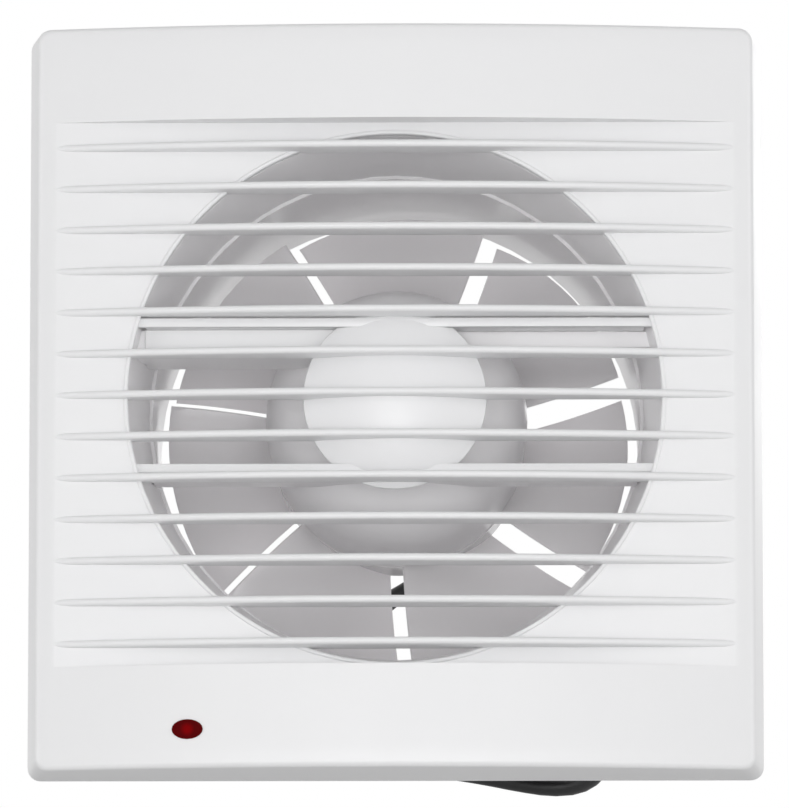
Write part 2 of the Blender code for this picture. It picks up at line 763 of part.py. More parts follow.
def clip_boxes(name, grow, low_x):
    """Boxes for the four clip noses, or with a growth their sockets, from low_x outwards."""
    boxes = []
    half_z = CLIP_WIDTH / 2 + grow
    back_y = PANEL_BACK_Y - CLIP_DEPTH / 2 + grow
    front_y = back_y - CLIP_NOSE_DEPTH - 2 * grow
    for side in (-1, 1):
        for z in (-CLIP_Z, CLIP_Z):
            x_low, x_high = sorted((side * low_x, side * CLIP_OUTER_X))
            boxes.append(box(name, (x_low, front_y, z - half_z), (x_high, back_y, z + half_z)))
    return boxes


def housing():
    """The flange with its rim, the bell mouth and spigot, four arms and the motor cup."""
    half_w, half_h = FLANGE_WIDTH / 2, FLANGE_HEIGHT / 2
    body = rounded_box("body", (-half_w, -RIM_DEPTH, -half_h), (half_w, 0, half_h), FLANGE_CORNER)
    socket_x = FLANGE_WIDTH / 2 - RIM_WALL - MM
    hollow = box(
        "hollow",
        (-half_w + RIM_WALL, -RIM_DEPTH - OVERLAP, -half_h + RIM_WALL),
        (half_w - RIM_WALL, -FLANGE_THICKNESS, half_h - RIM_WALL),
    )
    cut(body, hollow, group("sockets", clip_boxes("socket", GAP, socket_x)))
    join(body, turned("duct", duct_profile(0), DUCT_STEPS))
    past = 2 * MM
    bore = [(0, MOUTH_FRONT_Y - past), (OPENING_RADIUS, MOUTH_FRONT_Y - past)]
    depths = [MOUTH_FRONT_Y + (THROAT_Y - MOUTH_FRONT_Y) * i / 5 for i in range(6)]
    bore += [(mouth_radius(y), y) for y in depths]
    bore += [(DUCT_RADIUS, THROAT_Y), (DUCT_RADIUS, SPIGOT_LENGTH + past), (0, SPIGOT_LENGTH + past)]
    cut(body, turned("bore", bore, DUCT_STEPS))

    wall_x = MOUTH_OUTER
    arms = [
        box(
            "channel_arm",
            (-wall_x, CHANNEL_FRONT_Y, CHANNEL_BOTTOM_Z),
            (CHANNEL_END_X, ARM_BACK_Y, CHANNEL_TOP_Z),
        ),
        box(
            "right_arm",
            (ARM_INNER_X, RIGHT_ARM_FRONT_Y, CHANNEL_TOP_Z - ARM_THICKNESS),
            (wall_x, ARM_BACK_Y, CHANNEL_TOP_Z),
        ),
        box(
            "lower_arms",
            (-wall_x, LOWER_ARM_FRONT_Y, LOWER_ARM_Z),
            (wall_x, ARM_BACK_Y, LOWER_ARM_Z + ARM_THICKNESS),
        ),
    ]
    arms = group("arms", arms)
    keep_inside(arms, turned("inside", duct_profile(0.5 * MM), DUCT_STEPS))
    cup = turned("cup", [*cup_profile(0, CUP_END_Y), (0, CUP_END_Y)], CUP_STEPS)
    join(arms, cup)
    cut(arms, turned("cup_hollow", [*cup_profile(CUP_WALL, CUP_END_Y + MM), (0, CUP_END_Y + MM)], CUP_STEPS))
    join(body, arms)

    boss_end = FRONT_BEARING_Y + BEARING_LENGTH
    boss = rod("boss", SEAT_RADIUS + BOSS_WALL, CUP_APEX_Y + CUP_WALL / 2, boss_end)
    seat = rod("seat", SEAT_RADIUS, FRONT_BEARING_Y - GAP, boss_end + MM)
    tip = rod("tip", SEAT_RADIUS - BOSS_LIP, SHAFT_FRONT_Y - GAP, FRONT_BEARING_Y + GAP)
    posts = [
        rod("post", POST_RADIUS, CUP_SHOULDER_Y - 9 * MM, END_PLATE_Y - GAP, place, steps=12)
        for place in post_places()
    ]
    join(body, boss, group("posts", posts))
    holes = [
        rod(
            "hole",
            MOTOR_SCREW_RADIUS + GAP,
            END_PLATE_Y + END_PLATE_THICKNESS - MOTOR_SCREW_LENGTH - GAP,
            CUP_END_Y,
            place,
            steps=12,
        )
        for place in post_places()
    ]
    cut(body, seat, tip, group("screw_holes", holes))

    groove_z = CHANNEL_WALL
    groove = box(
        "groove",
        (-MOUTH_OUTER - MM, CHANNEL_FRONT_Y + MM, CHANNEL_BOTTOM_Z + groove_z),
        (CHANNEL_END_X - CHANNEL_WALL, CHANNEL_FLOOR_Y, CHANNEL_TOP_Z - groove_z),
    )
    mouth_of_groove = box(
        "groove_front",
        (CHANNEL_COVER_X + 2.5 * MM, CHANNEL_FRONT_Y - MM, CHANNEL_BOTTOM_Z + groove_z),
        (CHANNEL_END_X - CHANNEL_WALL, CHANNEL_FLOOR_Y - MM, CHANNEL_TOP_Z - groove_z),
    )
    drop = box(
        "drop",
        (CHANNEL_END_X - CHANNEL_WALL - 6 * MM, CHANNEL_FLOOR_Y - MM, CHANNEL_BOTTOM_Z + groove_z),
        (CHANNEL_END_X - CHANNEL_WALL, CUP_SHOULDER_Y - 8 * MM, CHANNEL_TOP_Z - groove_z),
    )
    cut(body, groove, mouth_of_groove, drop)

    wall_holes = [
        rod("wall_hole", SCREW_HOLE_RADIUS, -FLANGE_THICKNESS - MM, MM, (x, 0, z), steps=16)
        for x in (-SCREW_HOLE_X, SCREW_HOLE_X)
        for z in (-SCREW_HOLE_Z, SCREW_HOLE_Z)
    ]
    cord_hole = rod("cord_hole", RELIEF_RADIUS + GAP, -FLANGE_THICKNESS - MM, MM, (CORD_X, 0, CORD_Z), steps=20)
    cut(body, group("flange_holes", [*wall_holes, cord_hole]))

    board_posts = [
        rod("board_post", BOARD_POST_RADIUS, -FLANGE_THICKNESS - GAP, -FLANGE_THICKNESS + MM, place, steps=12)
        for place in board_post_places()
    ]
    for post in board_posts:
        for vertex in post.data.vertices:
            if vertex.co.y < -FLANGE_THICKNESS:
                vertex.co.y = BOARD_Y + BOARD_THICKNESS + GAP
    join(body, group("board_posts", board_posts))
    return part(body, "housing", "housing_white")


def board_post_places():
    return [(LENS_X + side * (BOARD_WIDTH / 2 - 2.5 * MM), 0, LENS_Z + 1.5 * MM) for side in (-1, 1)]


def channel_cover():
    """The lid that snaps into the wiring channel of the left arm."""
    left = CHANNEL_COVER_X
    lid = box(
        "lid",
        (left, CHANNEL_FRONT_Y - GAP - CHANNEL_COVER_THICKNESS, CHANNEL_BOTTOM_Z),
        (CHANNEL_END_X, CHANNEL_FRONT_Y - GAP, CHANNEL_TOP_Z),
    )
    tongue = box(
        "tongue",
        (left + 3 * MM, CHANNEL_FRONT_Y - GAP - 0.5 * MM, CHANNEL_BOTTOM_Z + CHANNEL_WALL + GAP),
        (
            CHANNEL_END_X - CHANNEL_WALL - GAP,
            CHANNEL_FRONT_Y + 1.4 * MM,
            CHANNEL_TOP_Z - CHANNEL_WALL - GAP,
        ),
    )
    return part(join(lid, tongue), "channel_cover", "cover_white", smooth=False)


def bearing(name, front_y):
    made = rod(name, BEARING_RADIUS, front_y, front_y + BEARING_LENGTH)
    cut(made, rod("bore", BORE_RADIUS, front_y - MM, front_y + BEARING_LENGTH + MM))
    return part(made, name, "bronze")


def end_plate():
    """The motor's rear plate, with the rear bearing's seat and three screw holes."""
    plate = rod(
        "plate",
        CUP_END_RADIUS - CUP_WALL - GAP,
        END_PLATE_Y,
        END_PLATE_Y + END_PLATE_THICKNESS,
        steps=CUP_STEPS,
    )
    join(plate, rod("boss", SEAT_RADIUS + BOSS_WALL, REAR_BEARING_Y - BOSS_LIP, REAR_BEARING_END_Y))
    seat = rod("seat", SEAT_RADIUS, REAR_BEARING_Y - GAP, REAR_BEARING_END_Y + MM)
    lip = rod("lip", SEAT_RADIUS - BOSS_LIP, REAR_BEARING_Y - BOSS_LIP - MM, REAR_BEARING_Y + MM)
    holes = [
        rod("hole", MOTOR_SCREW_RADIUS + GAP, END_PLATE_Y - MM, CUP_END_Y, place, steps=12)
        for place in post_places()
    ]
    cut(plate, seat, lip, group("holes", holes))
    return part(plate, "motor_end_plate", "steel")


def motor_screws():
    head_y = END_PLATE_Y + END_PLATE_THICKNESS + GAP
    for number, place in enumerate(post_places(), 1):
        shank = rod("shank", MOTOR_SCREW_RADIUS, head_y - MOTOR_SCREW_LENGTH, head_y + 0.4 * MM, place, steps=10)
        head = rod("head", MOTOR_SCREW_HEAD, head_y, head_y + MOTOR_SCREW_HEAD_HEIGHT, place, steps=12)
        slot = box(
            "slot",
            (place[0] - MOTOR_SCREW_HEAD, head_y + MM, place[2] - 0.3 * MM),
            (place[0] + MOTOR_SCREW_HEAD, head_y + 2 * MM, place[2] + 0.3 * MM),
        )
        part(cut(join(shank, head), slot), f"motor_screw_{number}", "steel")


def stator():
    end_y = CORE_FRONT_Y + CORE_LENGTH
    core = rod("core", CORE_RADIUS, CORE_FRONT_Y, end_y, steps=32)
    cut(core, rod("bore", ROTOR_RADIUS + AIR_GAP, CORE_FRONT_Y - MM, end_y + MM, steps=32))
    part(core, "stator_core", "lamination")
    for name, low in (
        ("front_winding", CORE_FRONT_Y - GAP - WINDING_DEPTH),
        ("rear_winding", end_y + GAP),
    ):
        ring = rod(name, WINDING_OUTER, low, low + WINDING_DEPTH, steps=28)
        cut(ring, rod("bore", WINDING_INNER, low - MM, low + WINDING_DEPTH + MM, steps=28))
        part(ring, name, "copper")


def rotor():
    low, high = CORE_FRONT_Y - 0.5 * MM, CORE_FRONT_Y + CORE_LENGTH + 0.5 * MM
    made = rod("rotor", ROTOR_RADIUS, low, high, steps=32)
    cut(made, rod("bore", BORE_RADIUS, low - MM, high + MM))
    return part(made, "rotor", "lamination")


def blade(turn):
    """One blade: a grid bent into a twisted, slightly cambered sheet, made solid."""
    shape = bmesh.new()
    bmesh.ops.create_grid(shape, x_segments=BLADE_CHORD_STEPS, y_segments=BLADE_SPAN_STEPS, size=0.5)
    root = HUB_RADIUS - HUB_WALL / 2
    front_y = HUB_FRONT_Y - BLADE_FRONT_INSET
    depth = HUB_BACK_Y - HUB_FRONT_Y + BLADE_FRONT_INSET - MM
    for vertex in shape.verts:
        along, out = vertex.co.x + 0.5, vertex.co.y + 0.5
        radius = root + (BLADE_TIP_RADIUS - root) * out
        span = 360 / BLADE_COUNT - math.degrees(BLADE_GAP / radius)
        angle = math.radians(BLADE_PHASE + turn + (along - 0.5) * span + BLADE_SWEEP * (out - 0.5))
        y = front_y + depth * along - BLADE_CAMBER * math.sin(math.pi * along)
        vertex.co = (radius * math.cos(angle), y, radius * math.sin(angle))
    made = from_bmesh("blade", shape)
    thick = made.modifiers.new("thick", "SOLIDIFY")
    thick.thickness = BLADE_THICKNESS
    thick.offset = 0
    return baked(made, outward=True)


def impeller():
    hub = rod("hub", HUB_RADIUS, HUB_FRONT_Y, HUB_BACK_Y, steps=CUP_STEPS)
    cut(hub, rod("inside", HUB_RADIUS - HUB_WALL, HUB_FRONT_Y - MM, HUB_BACK_Y - HUB_WEB, steps=CUP_STEPS))
    join(hub, rod("boss", HUB_BOSS_RADIUS, HUB_BOSS_Y, HUB_BACK_Y - HUB_WEB / 2))
    cut(hub, rod("bore", BORE_RADIUS, HUB_BOSS_Y - MM, HUB_BACK_Y + MM))
    for i in range(BLADE_COUNT):
        join(hub, blade(360 / BLADE_COUNT * i))
    return part(hub, "impeller", "impeller_white")


def shaft_and_nut():
    part(rod("shaft", SHAFT_RADIUS, SHAFT_FRONT_Y, SHAFT_BACK_Y), "motor_shaft", "steel")
    washer = rod("washer", BEARING_RADIUS, WASHER_Y, WASHER_Y + WASHER_THICKNESS)
    cut(washer, rod("bore", BORE_RADIUS, WASHER_Y - MM, WASHER_Y + WASHER_THICKNESS + MM))
    part(washer, "thrust_washer", "steel")
    nut = rod("nut", NUT_RADIUS, NUT_Y, NUT_Y + NUT_THICKNESS, steps=6)
    cut(nut, rod("bore", BORE_RADIUS, NUT_Y - MM, NUT_Y + NUT_THICKNESS + MM))
    part(nut, "impeller_nut", "brass", smooth=False)


def indicator():
    """The oval lens held behind the face by its flange, the lamp under it and the lamp's board."""
    face = panel_face_y(LENS_X - LENS_WIDTH / 2)
    inner = panel_face_y(abs(LENS_X) + LENS_WIDTH / 2 + LENS_FLANGE) + PANEL_WALL + GAP
    front = panel_face_y(abs(LENS_X) - LENS_WIDTH / 2) - LENS_PROUD
    stem = oval_rod("stem", 0, front, inner + LENS_FLANGE_THICKNESS / 2)
    middle = (front + inner) / 2
    for vertex in stem.data.vertices:
        if vertex.co.y < middle:
            tilt = 2 * PANEL_BOW * LENS_X / PANEL_FRONT_HALF**2
            vertex.co.y = face - LENS_PROUD + (vertex.co.x - LENS_X) * tilt
    flange = oval_rod("flange", 2 * LENS_FLANGE, inner, inner + LENS_FLANGE_THICKNESS)
    part(join(stem, flange), "indicator_lens", "lens_red")

    back = BOARD_Y
    tip = inner + LENS_FLANGE_THICKNESS + GAP
    lamp = rod("lamp", LAMP_RADIUS, tip, back - GAP, (LENS_X, 0, LENS_Z), steps=16)
    join(lamp, rod("foot", LAMP_RADIUS + 0.4 * MM, back - GAP - MM, back - GAP, (LENS_X, 0, LENS_Z), steps=16))
    part(lamp, "indicator_lamp", "lens_red")
    board = box(
        "board",
        (LENS_X - BOARD_WIDTH / 2, back, LENS_Z - BOARD_HEIGHT / 2 + 2 * MM),
        (LENS_X + BOARD_WIDTH / 2, back + BOARD_THICKNESS, LENS_Z + BOARD_HEIGHT / 2 + 2 * MM),
    )
    part(board, "indicator_board", "board_green", smooth=False)


def terminal_block():
    front = -FLANGE_THICKNESS - GAP - BLOCK_DEPTH
    half_w, half_h = BLOCK_WIDTH / 2, BLOCK_HEIGHT / 2
    block = rounded_box(
        "block",
        (BLOCK_X - half_w, front, BLOCK_Z - half_h),
        (BLOCK_X + half_w, -FLANGE_THICKNESS - GAP, BLOCK_Z + half_h),
        0.8 * MM,
        segments=1,
    )
    ways = [BLOCK_Z + side * BLOCK_WAY_PITCH / 2 for side in (-1, 1)]
    wells = [
        rod("well", BLOCK_SCREW_RADIUS + GAP, front - MM, front + 2.4 * MM, (BLOCK_X, 0, z), steps=12)
        for z in ways
    ]
    cut(block, group("wells", wells))
    part(block, "terminal_block", "block_cream", smooth=False)
    for number, z in enumerate(ways, 1):
        head_y, end_y = front - BLOCK_SCREW_PROUD, front + 2.4 * MM - GAP
        screw = rod("screw", BLOCK_SCREW_RADIUS, head_y, end_y, (BLOCK_X, 0, z), steps=12)
        part(screw, f"terminal_screw_{number}", "brass")


def lead_pair(name, routes):
    for number, points in enumerate(routes, 1):
        lead = tube(name, [Vector(p) * MM for p in points], LEAD_RADIUS, 1)
        part(lead, f"{name}_{number}", "lead_brown")


def leads():
    block_left = (BLOCK_X - BLOCK_WIDTH / 2 - GAP) / MM
    block_right = (BLOCK_X + BLOCK_WIDTH / 2 + GAP) / MM
    ways = [(BLOCK_Z + side * BLOCK_WAY_PITCH / 2) / MM for side in (-1, 1)]
    y = LEAD_Y / MM
    side_x, foot_z = LEAD_SIDE_X / MM, LEAD_FOOT_Z / MM
    mouth_x = (LEAD_RADIUS - MOUTH_OUTER) / MM
    pitch, drop, turn = LEAD_PITCH / MM, LEAD_DROP / MM, LEAD_TURN / MM
    channel_z = CHANNEL_MIDDLE_Z / MM
    channel_y = (CHANNEL_FLOOR_Y - LEAD_RADIUS) / MM - 0.6
    end_x = (CHANNEL_END_X - CHANNEL_WALL) / MM - 3
    winding_y = (CORE_FRONT_Y - GAP - WINDING_DEPTH - GAP) / MM
    relief_x, relief_z = CORD_X / MM, CORD_Z / MM
    relief_y = -(FLANGE_THICKNESS + RELIEF_FLANGE_THICKNESS + 2 * GAP) / MM
    motor, lamp, supply = [], [], []
    for i, way in enumerate(ways):
        off = (i - 0.5) * pitch
        motor.append(
            [
                (block_left, y, way),
                (block_left - 5, y, way),
                (block_left - 12, y, foot_z - 6 + off),
                (-34, y, foot_z - 5 + off),
                (-60, y, foot_z + off),
                (side_x + off + turn, y, foot_z + turn + 2),
                (side_x + off, y, foot_z + drop + 4),
                (side_x + off, y, channel_z - drop),
                (side_x + turn / 4 + off, y, channel_z - turn - off),
                (mouth_x + off / 3, channel_y, channel_z - off * 0.9),
                (end_x - 2.2, channel_y, channel_z - off * 0.9),
                (end_x - 0.5, channel_y + 0.8, channel_z - off * 0.9),
                (end_x, channel_y + 2.8, channel_z - off * 0.9),
                (end_x, winding_y, channel_z - off * 0.9),
            ]
        )
        supply.append(
            [
                (relief_x - off, relief_y, relief_z),
                (relief_x - off, relief_y - 1.5, relief_z),
                (relief_x - off, relief_y - 2.8, relief_z + (way - relief_z) * 0.3),
                (relief_x - off - 2.5, y - 1.5, relief_z + (way - relief_z) * 0.8),
                (relief_x - off - 5.5, y - 1, way),
                (block_right, y - 1, way),
            ]
        )
        board_right = (LENS_X + BOARD_WIDTH / 2 + GAP) / MM
        lamp_z = (LENS_Z + 2 * MM) / MM + off
        board_y = (BOARD_Y + BOARD_THICKNESS / 2) / MM
        lamp.append(
            [
                (board_right, board_y, lamp_z),
                (board_right + 4, board_y, lamp_z),
                (block_left - 14, y - 3.2, way),
                (block_left, y - 3.2, way),
            ]
        )
    lead_pair("motor_lead", motor)
    lead_pair("supply_lead", supply)
    lead_pair("indicator_lead", lamp)


def strain_relief():
    """The rubber sleeve in the flange: an inner lip, a neck, an outer lip and a tapered tail."""
    lip = -FLANGE_THICKNESS - GAP
    profile = [
        (0, lip - RELIEF_FLANGE_THICKNESS),
        (RELIEF_FLANGE_RADIUS, lip - RELIEF_FLANGE_THICKNESS),
        (RELIEF_FLANGE_RADIUS, lip),
        (RELIEF_RADIUS, lip),
        (RELIEF_RADIUS, GAP),
        (RELIEF_FLANGE_RADIUS, GAP),
        (RELIEF_FLANGE_RADIUS, GAP + RELIEF_FLANGE_THICKNESS),
        (RELIEF_RADIUS, GAP + RELIEF_FLANGE_THICKNESS),
        (RELIEF_TIP_RADIUS, RELIEF_LENGTH),
        (0, RELIEF_LENGTH),
    ]
    made = turned("relief", profile, 20)
    made.data.transform(Matrix.Translation((CORD_X, 0, CORD_Z)))
    return part(made, "strain_relief", "black_rubber")


def coil_point(turns):
    """A point on the coil's centre line, after so many turns from its start."""
    angle = -2 * math.pi * turns
    radius = COIL_INNER_RADIUS + COIL_PITCH * abs(turns - COIL_TURNS_IN)
    share = (turns - COIL_TURNS_IN) / COIL_CLIMB_TURNS + 0.5
    share = min(1.0, max(0.0, share))
    drop = COIL_PITCH * share * share * (3 - 2 * share)
    return Vector((COIL_X + radius * math.cos(angle), COIL_Y + radius * math.sin(angle), COIL_TOP_Z - drop))


def coil_points():
    turns = COIL_TURNS_IN + COIL_TURNS_OUT
    count = round(turns * COIL_POINTS_A_TURN)
    ring = [coil_point(turns * i / count) for i in range(count + 1)]
    start = ring[0] + Vector((0, CORD_DIAMETER, 0))
    end = Vector((PLUG_RELIEF_START_X + GAP, ring[-1].y, ring[-1].z))
    steps = 3
    tail = [ring[-1].lerp(end, i / steps) for i in range(1, steps + 1)]
    return [start, *ring, *tail]


def least_gap(points):
    """The least clear distance between stretches of the tube that aren't neighbours along it."""
    spots = np.array([tuple(p) for p in points])
    dense = np.concatenate([spots[:-1] + (spots[1:] - spots[:-1]) * t for t in (0, 0.25, 0.5, 0.75)])
    order = np.argsort(np.tile(np.arange(len(spots) - 1), 4) + np.repeat((0, 0.25, 0.5, 0.75), len(spots) - 1))
    dense = dense[order]
    apart = np.linalg.norm(dense[:, None] - dense[None], axis=2)
    near = np.abs(np.subtract.outer(np.arange(len(dense)), np.arange(len(dense)))) < COIL_POINTS_A_TURN * 2
    return float(apart[~near].min()) - CORD_DIAMETER


def cord():
    start = Vector((CORD_X, RELIEF_LENGTH + GAP, CORD_Z))
    coil = coil_points()
    end = coil[0] + Vector((0, GAP, 0))
    straight = Vector((0, CORD_DIAMETER, 0))
    route = [start + straight, *[Vector(p) * MM for p in CORD_ROUTE], end + straight]
    run = [start, *smooth_route(route, CORD_ROUTE_POINTS), end]
    part(tube("cord", run, CORD_DIAMETER / 2, 2), "cord_run", "black_rubber")
    part(tube("coil", coil, CORD_DIAMETER / 2, 1), "cord_coil", "black_rubber")
    gap = least_gap(coil)
    if gap < LEAST_CORD_GAP:
        print("the coil's turns lie too close")
    print(f"least gap between the coil's turns {gap / MM:.2f} mm")
    total = route_length(run) + route_length(coil)
    print(f"cord {total / MM:.0f} mm long, {route_length(run) / MM:.0f} mm of it loose")


def cord_tie():
    """A strap round the coil's bundle."""
    mean = (COIL_INNER_RADIUS + COIL_LAST_RADIUS) / 2
    half_r = (COIL_LAST_RADIUS - COIL_INNER_RADIUS + CORD_DIAMETER) / 2 + TIE_CLEARANCE
    half_z = (COIL_PITCH + CORD_DIAMETER) / 2 + TIE_CLEARANCE
    thick = TIE_THICKNESS
    strap = rounded_box(
        "strap",
        (-half_r - thick, -TIE_WIDTH / 2, -half_z - thick),
        (half_r + thick, TIE_WIDTH / 2, half_z + thick),
        1.5 * MM,
    )
    inside = rounded_box("inside", (-half_r, -TIE_WIDTH, -half_z), (half_r, TIE_WIDTH, half_z), 0.6 * MM)
    cut(strap, inside)
    turn = Matrix.Rotation(math.radians(TIE_ANGLE), 4, "Z")
    middle_z = COIL_TOP_Z - COIL_PITCH / 2
    place = Matrix.Translation((COIL_X, COIL_Y, middle_z)) @ turn @ Matrix.Translation((mean, 0, 0))
    strap.data.transform(place)
    return part(strap, "cord_tie", "black_rubber")


def plug():
    """A slim two-pin plug on its edge: tapered relief, body and pins."""
    middle = (0, PLUG_Y, COIL_BOTTOM_Z)
    relief_end = PLUG_RELIEF_START_X - PLUG_RELIEF_LENGTH
    body_end = relief_end - PLUG_BODY_LENGTH
    full_x = relief_end - PLUG_BODY_LENGTH * (1 - PLUG_FULL_WIDTH_AT)
    half, neck = PLUG_WIDTH / 2, PLUG_NECK_WIDTH / 2
    outline = [
        (relief_end, -neck),
        (relief_end, neck),
        (relief_end - 4 * MM, neck + 1.5 * MM),
        (full_x, half - 1.5 * MM),
        (full_x - 3 * MM, half),
        (body_end, half),
        (body_end, -half),
        (full_x - 3 * MM, -half),
        (full_x, -half + 1.5 * MM),
        (relief_end - 4 * MM, -neck - 1.5 * MM),
    ]
    body = outline_solid("body", outline, PLUG_THICKNESS, plane="XZ")
    body.data.transform(Matrix.Translation(middle))
    baked(body, outward=True)
    relief = cone(
        "relief",
        RELIEF_RADIUS,
        RELIEF_TIP_RADIUS,
        relief_end - OVERLAP,
        PLUG_RELIEF_START_X,
        middle,
        axis="X",
        steps=16,
    )
    join(body, relief)
    holes = []
    for number, side in enumerate((-1, 1), 1):
        place = (0, PLUG_Y, COIL_BOTTOM_Z + side * PIN_PITCH / 2)
        seated = body_end + 5 * MM
        holes.append(rod("hole", PIN_RADIUS + GAP, body_end - MM, seated, place, axis="X", steps=14))
        pin = rod("pin", PIN_RADIUS, body_end - PIN_LENGTH + MM, seated - GAP, place, axis="X", steps=14)
        tip = cone("tip", PIN_RADIUS / 2, PIN_RADIUS, body_end - PIN_LENGTH, body_end - PIN_LENGTH + MM, place, "X", 14)
        part(join(pin, tip), f"plug_pin_{number}", "brass")
    cut(body, group("holes", holes))
    part(body, "plug_body", "black_rubber")


def main():
    front_grille()
    housing()
    channel_cover()
    bearing("front_bearing", FRONT_BEARING_Y)
    bearing("rear_bearing", REAR_BEARING_Y)
    end_plate()
    motor_screws()
    stator()
    rotor()
    impeller()
    shaft_and_nut()
    indicator()
    terminal_block()
    leads()
    strain_relief()
    cord()
    cord_tie()
    plug()


main()
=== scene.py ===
"""The looks of a square bathroom exhaust fan: its finishes, its cord and its finer shapes."""

import json
import math

import bmesh
import bpy
from mathutils import Matrix, Vector

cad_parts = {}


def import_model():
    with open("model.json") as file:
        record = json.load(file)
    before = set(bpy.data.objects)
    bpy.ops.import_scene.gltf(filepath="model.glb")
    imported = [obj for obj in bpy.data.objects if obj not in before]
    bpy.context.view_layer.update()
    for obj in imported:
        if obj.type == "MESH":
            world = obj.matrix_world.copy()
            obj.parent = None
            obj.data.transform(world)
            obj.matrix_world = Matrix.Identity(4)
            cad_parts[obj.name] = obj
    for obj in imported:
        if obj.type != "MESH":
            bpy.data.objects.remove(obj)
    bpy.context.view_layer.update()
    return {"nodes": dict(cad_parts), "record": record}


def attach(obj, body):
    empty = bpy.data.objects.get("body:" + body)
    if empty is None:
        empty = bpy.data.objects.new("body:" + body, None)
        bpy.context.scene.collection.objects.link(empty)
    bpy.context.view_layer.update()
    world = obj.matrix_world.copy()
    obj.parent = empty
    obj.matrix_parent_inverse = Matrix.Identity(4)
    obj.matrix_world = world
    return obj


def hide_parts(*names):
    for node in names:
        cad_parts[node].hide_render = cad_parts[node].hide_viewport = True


MM = 0.001
MERGE_REACH = 0.001 * MM
TOUCH_REACH = 0.01 * MM

# The studio: a white background, a soft even light and four square lamps, in metres and watts.
WHITE_BACKGROUND = 1.0
WORLD_LIGHT = 0.42
FLOOR_GLOW = 0.85
FLOOR_HALF_WIDTH = 3
FLOOR_Z = -0.55
FLOOR_GREY = (0.8, 0.8, 0.8, 1)
LAMP_AIM = (0, 0, 0)
LAMPS = [
    ("left", (-1.9, -1.1, 0.1), 1.2, 10),
    ("right", (1.9, -1.1, 0.1), 1.2, 11),
    ("behind", (0.8, 2.0, 0.9), 1.2, 7),
    ("front", (0, -2.2, -0.35), 1.0, 20),
]

# The camera looks slightly up at the fan, from far away.
CAMERA_AZIMUTH = 0.7
CAMERA_ELEVATION = -9
CAMERA_DISTANCE = 2.4
CAMERA_AIM = (-0.1 * MM, -14 * MM, -1.3 * MM)
FRAME_WIDTH = 190.2 * MM
SENSOR_WIDTH = 36

# The supply cord's route, as in the part's source.
CORD_DIAMETER = 4.4 * MM
CORD_GAP = 0.3 * MM
CORD_START = (50.5, 26, -68)
CORD_ROUTE_POINTS = 60
CORD_ROUTE = [
    (50.7, 38.3, -69),
    (51.1, 45.4, -72.5),
    (51.2, 52.2, -76.8),
    (50, 58.8, -80.6),
    (47.2, 64.8, -83.1),
    (42.7, 69.8, -84.2),
    (36.8, 73.5, -83.9),
    (29.8, 75.7, -82.6),
    (22.3, 76.8, -81),
    (14.6, 77.6, -79.6),
    (7, 79, -78.4),
    (0.1, 81.6, -76.7),
    (-5.4, 85.2, -73.5),
    (-9.2, 88.7, -68.3),
    (-11.4, 91.2, -61.5),
    (-11.8, 92.5, -53.8),
    (-10.3, 92.9, -46.3),
    (-6.9, 92.9, -39.4),
    (-1.8, 92.7, -33.9),
    (4.8, 92.4, -30.3),
    (12.3, 92.1, -28.6),
    (20.1, 91.8, -28.4),
    (27.9, 91.4, -29.4),
    (35.3, 90.6, -31.6),
    (41.8, 89.2, -35.3),
    (46.5, 86.8, -40.4),
    (49, 83.3, -46.4),
    (49.3, 78.5, -52.3),
    (47.6, 72.9, -57.4),
    (45, 66.6, -61.5),
    (42.5, 59.7, -64.2),
]
COIL_MIDDLE = (9 * MM, 43 * MM)
COIL_TOP_Z = -64.9 * MM
COIL_INNER_RADIUS = 18 * MM
COIL_PITCH = 4.9 * MM
COIL_TURNS_IN = 3
COIL_TURNS_OUT = 3.25
COIL_POINTS_A_TURN = 24
COIL_CLIMB_TURNS = 0.5
COIL_END_X = -11.7 * MM
COIL_TAIL_POINTS = 3
ROUTE_STEPS = 24
CORD_ROUND_STEPS = 5

# The cover: a bowed face, a flat recess with a round opening, slats, bars and a round boss.
PANEL_WIDTH = 177.5 * MM
PANEL_HEIGHT = 182.4 * MM
PANEL_SIDE_DRAFT = 2.3 * MM
PANEL_END_DRAFT = 0.8 * MM
PANEL_EDGE_Y = -16 * MM
PANEL_BOW = 8 * MM
PANEL_BACK_Y = -1 * MM
PANEL_WALL = 2.2 * MM
PANEL_CORNER = 3.2 * MM
PANEL_CORNER_ROOM = 5 * MM
PANEL_ROUNDING = 1.3 * MM
PANEL_SHARP_ANGLE = 50
PANEL_FRONT_HALF = PANEL_WIDTH / 2 - PANEL_SIDE_DRAFT
PANEL_FRONT_END = PANEL_HEIGHT / 2 - PANEL_END_DRAFT
RECESS_Y = -16.8 * MM
RECESS_TOP = 67.2 * MM
RECESS_BOTTOM = -65.5 * MM
RECESS_BLEND = 0.12 * MM
RECESS_STEPS = 94
RECESS_END_STEPS = 4
RECESS_FLAT_END, RECESS_END = (
    PANEL_FRONT_HALF * math.sqrt(1 - (PANEL_EDGE_Y - RECESS_Y + blend) / PANEL_BOW)
    for blend in (RECESS_BLEND, -RECESS_BLEND)
)
OPENING_RADIUS = 64.3 * MM
OPENING_STEPS = 192
OPENING_ROUNDING = 0.9 * MM
RIM_BEAD_WIDTH = 1.1 * MM
RIM_BEAD_RISE = 0.4 * MM
RIM_BEAD_STEPS = 8
SLAT_COUNT = 13
SLAT_PITCH = 10.08 * MM
SLAT_THICKNESS = 1.8 * MM
SLAT_MIDDLE_Z = 0.5 * MM
SLAT_BACK_Y = -14.8 * MM
SLAT_REACH = PANEL_FRONT_HALF - 2 * MM
SLAT_SET_BACK = 0.02 * MM
SLAT_BACK_SHARE = 0.1
SLAT_STEPS = (96, 20)
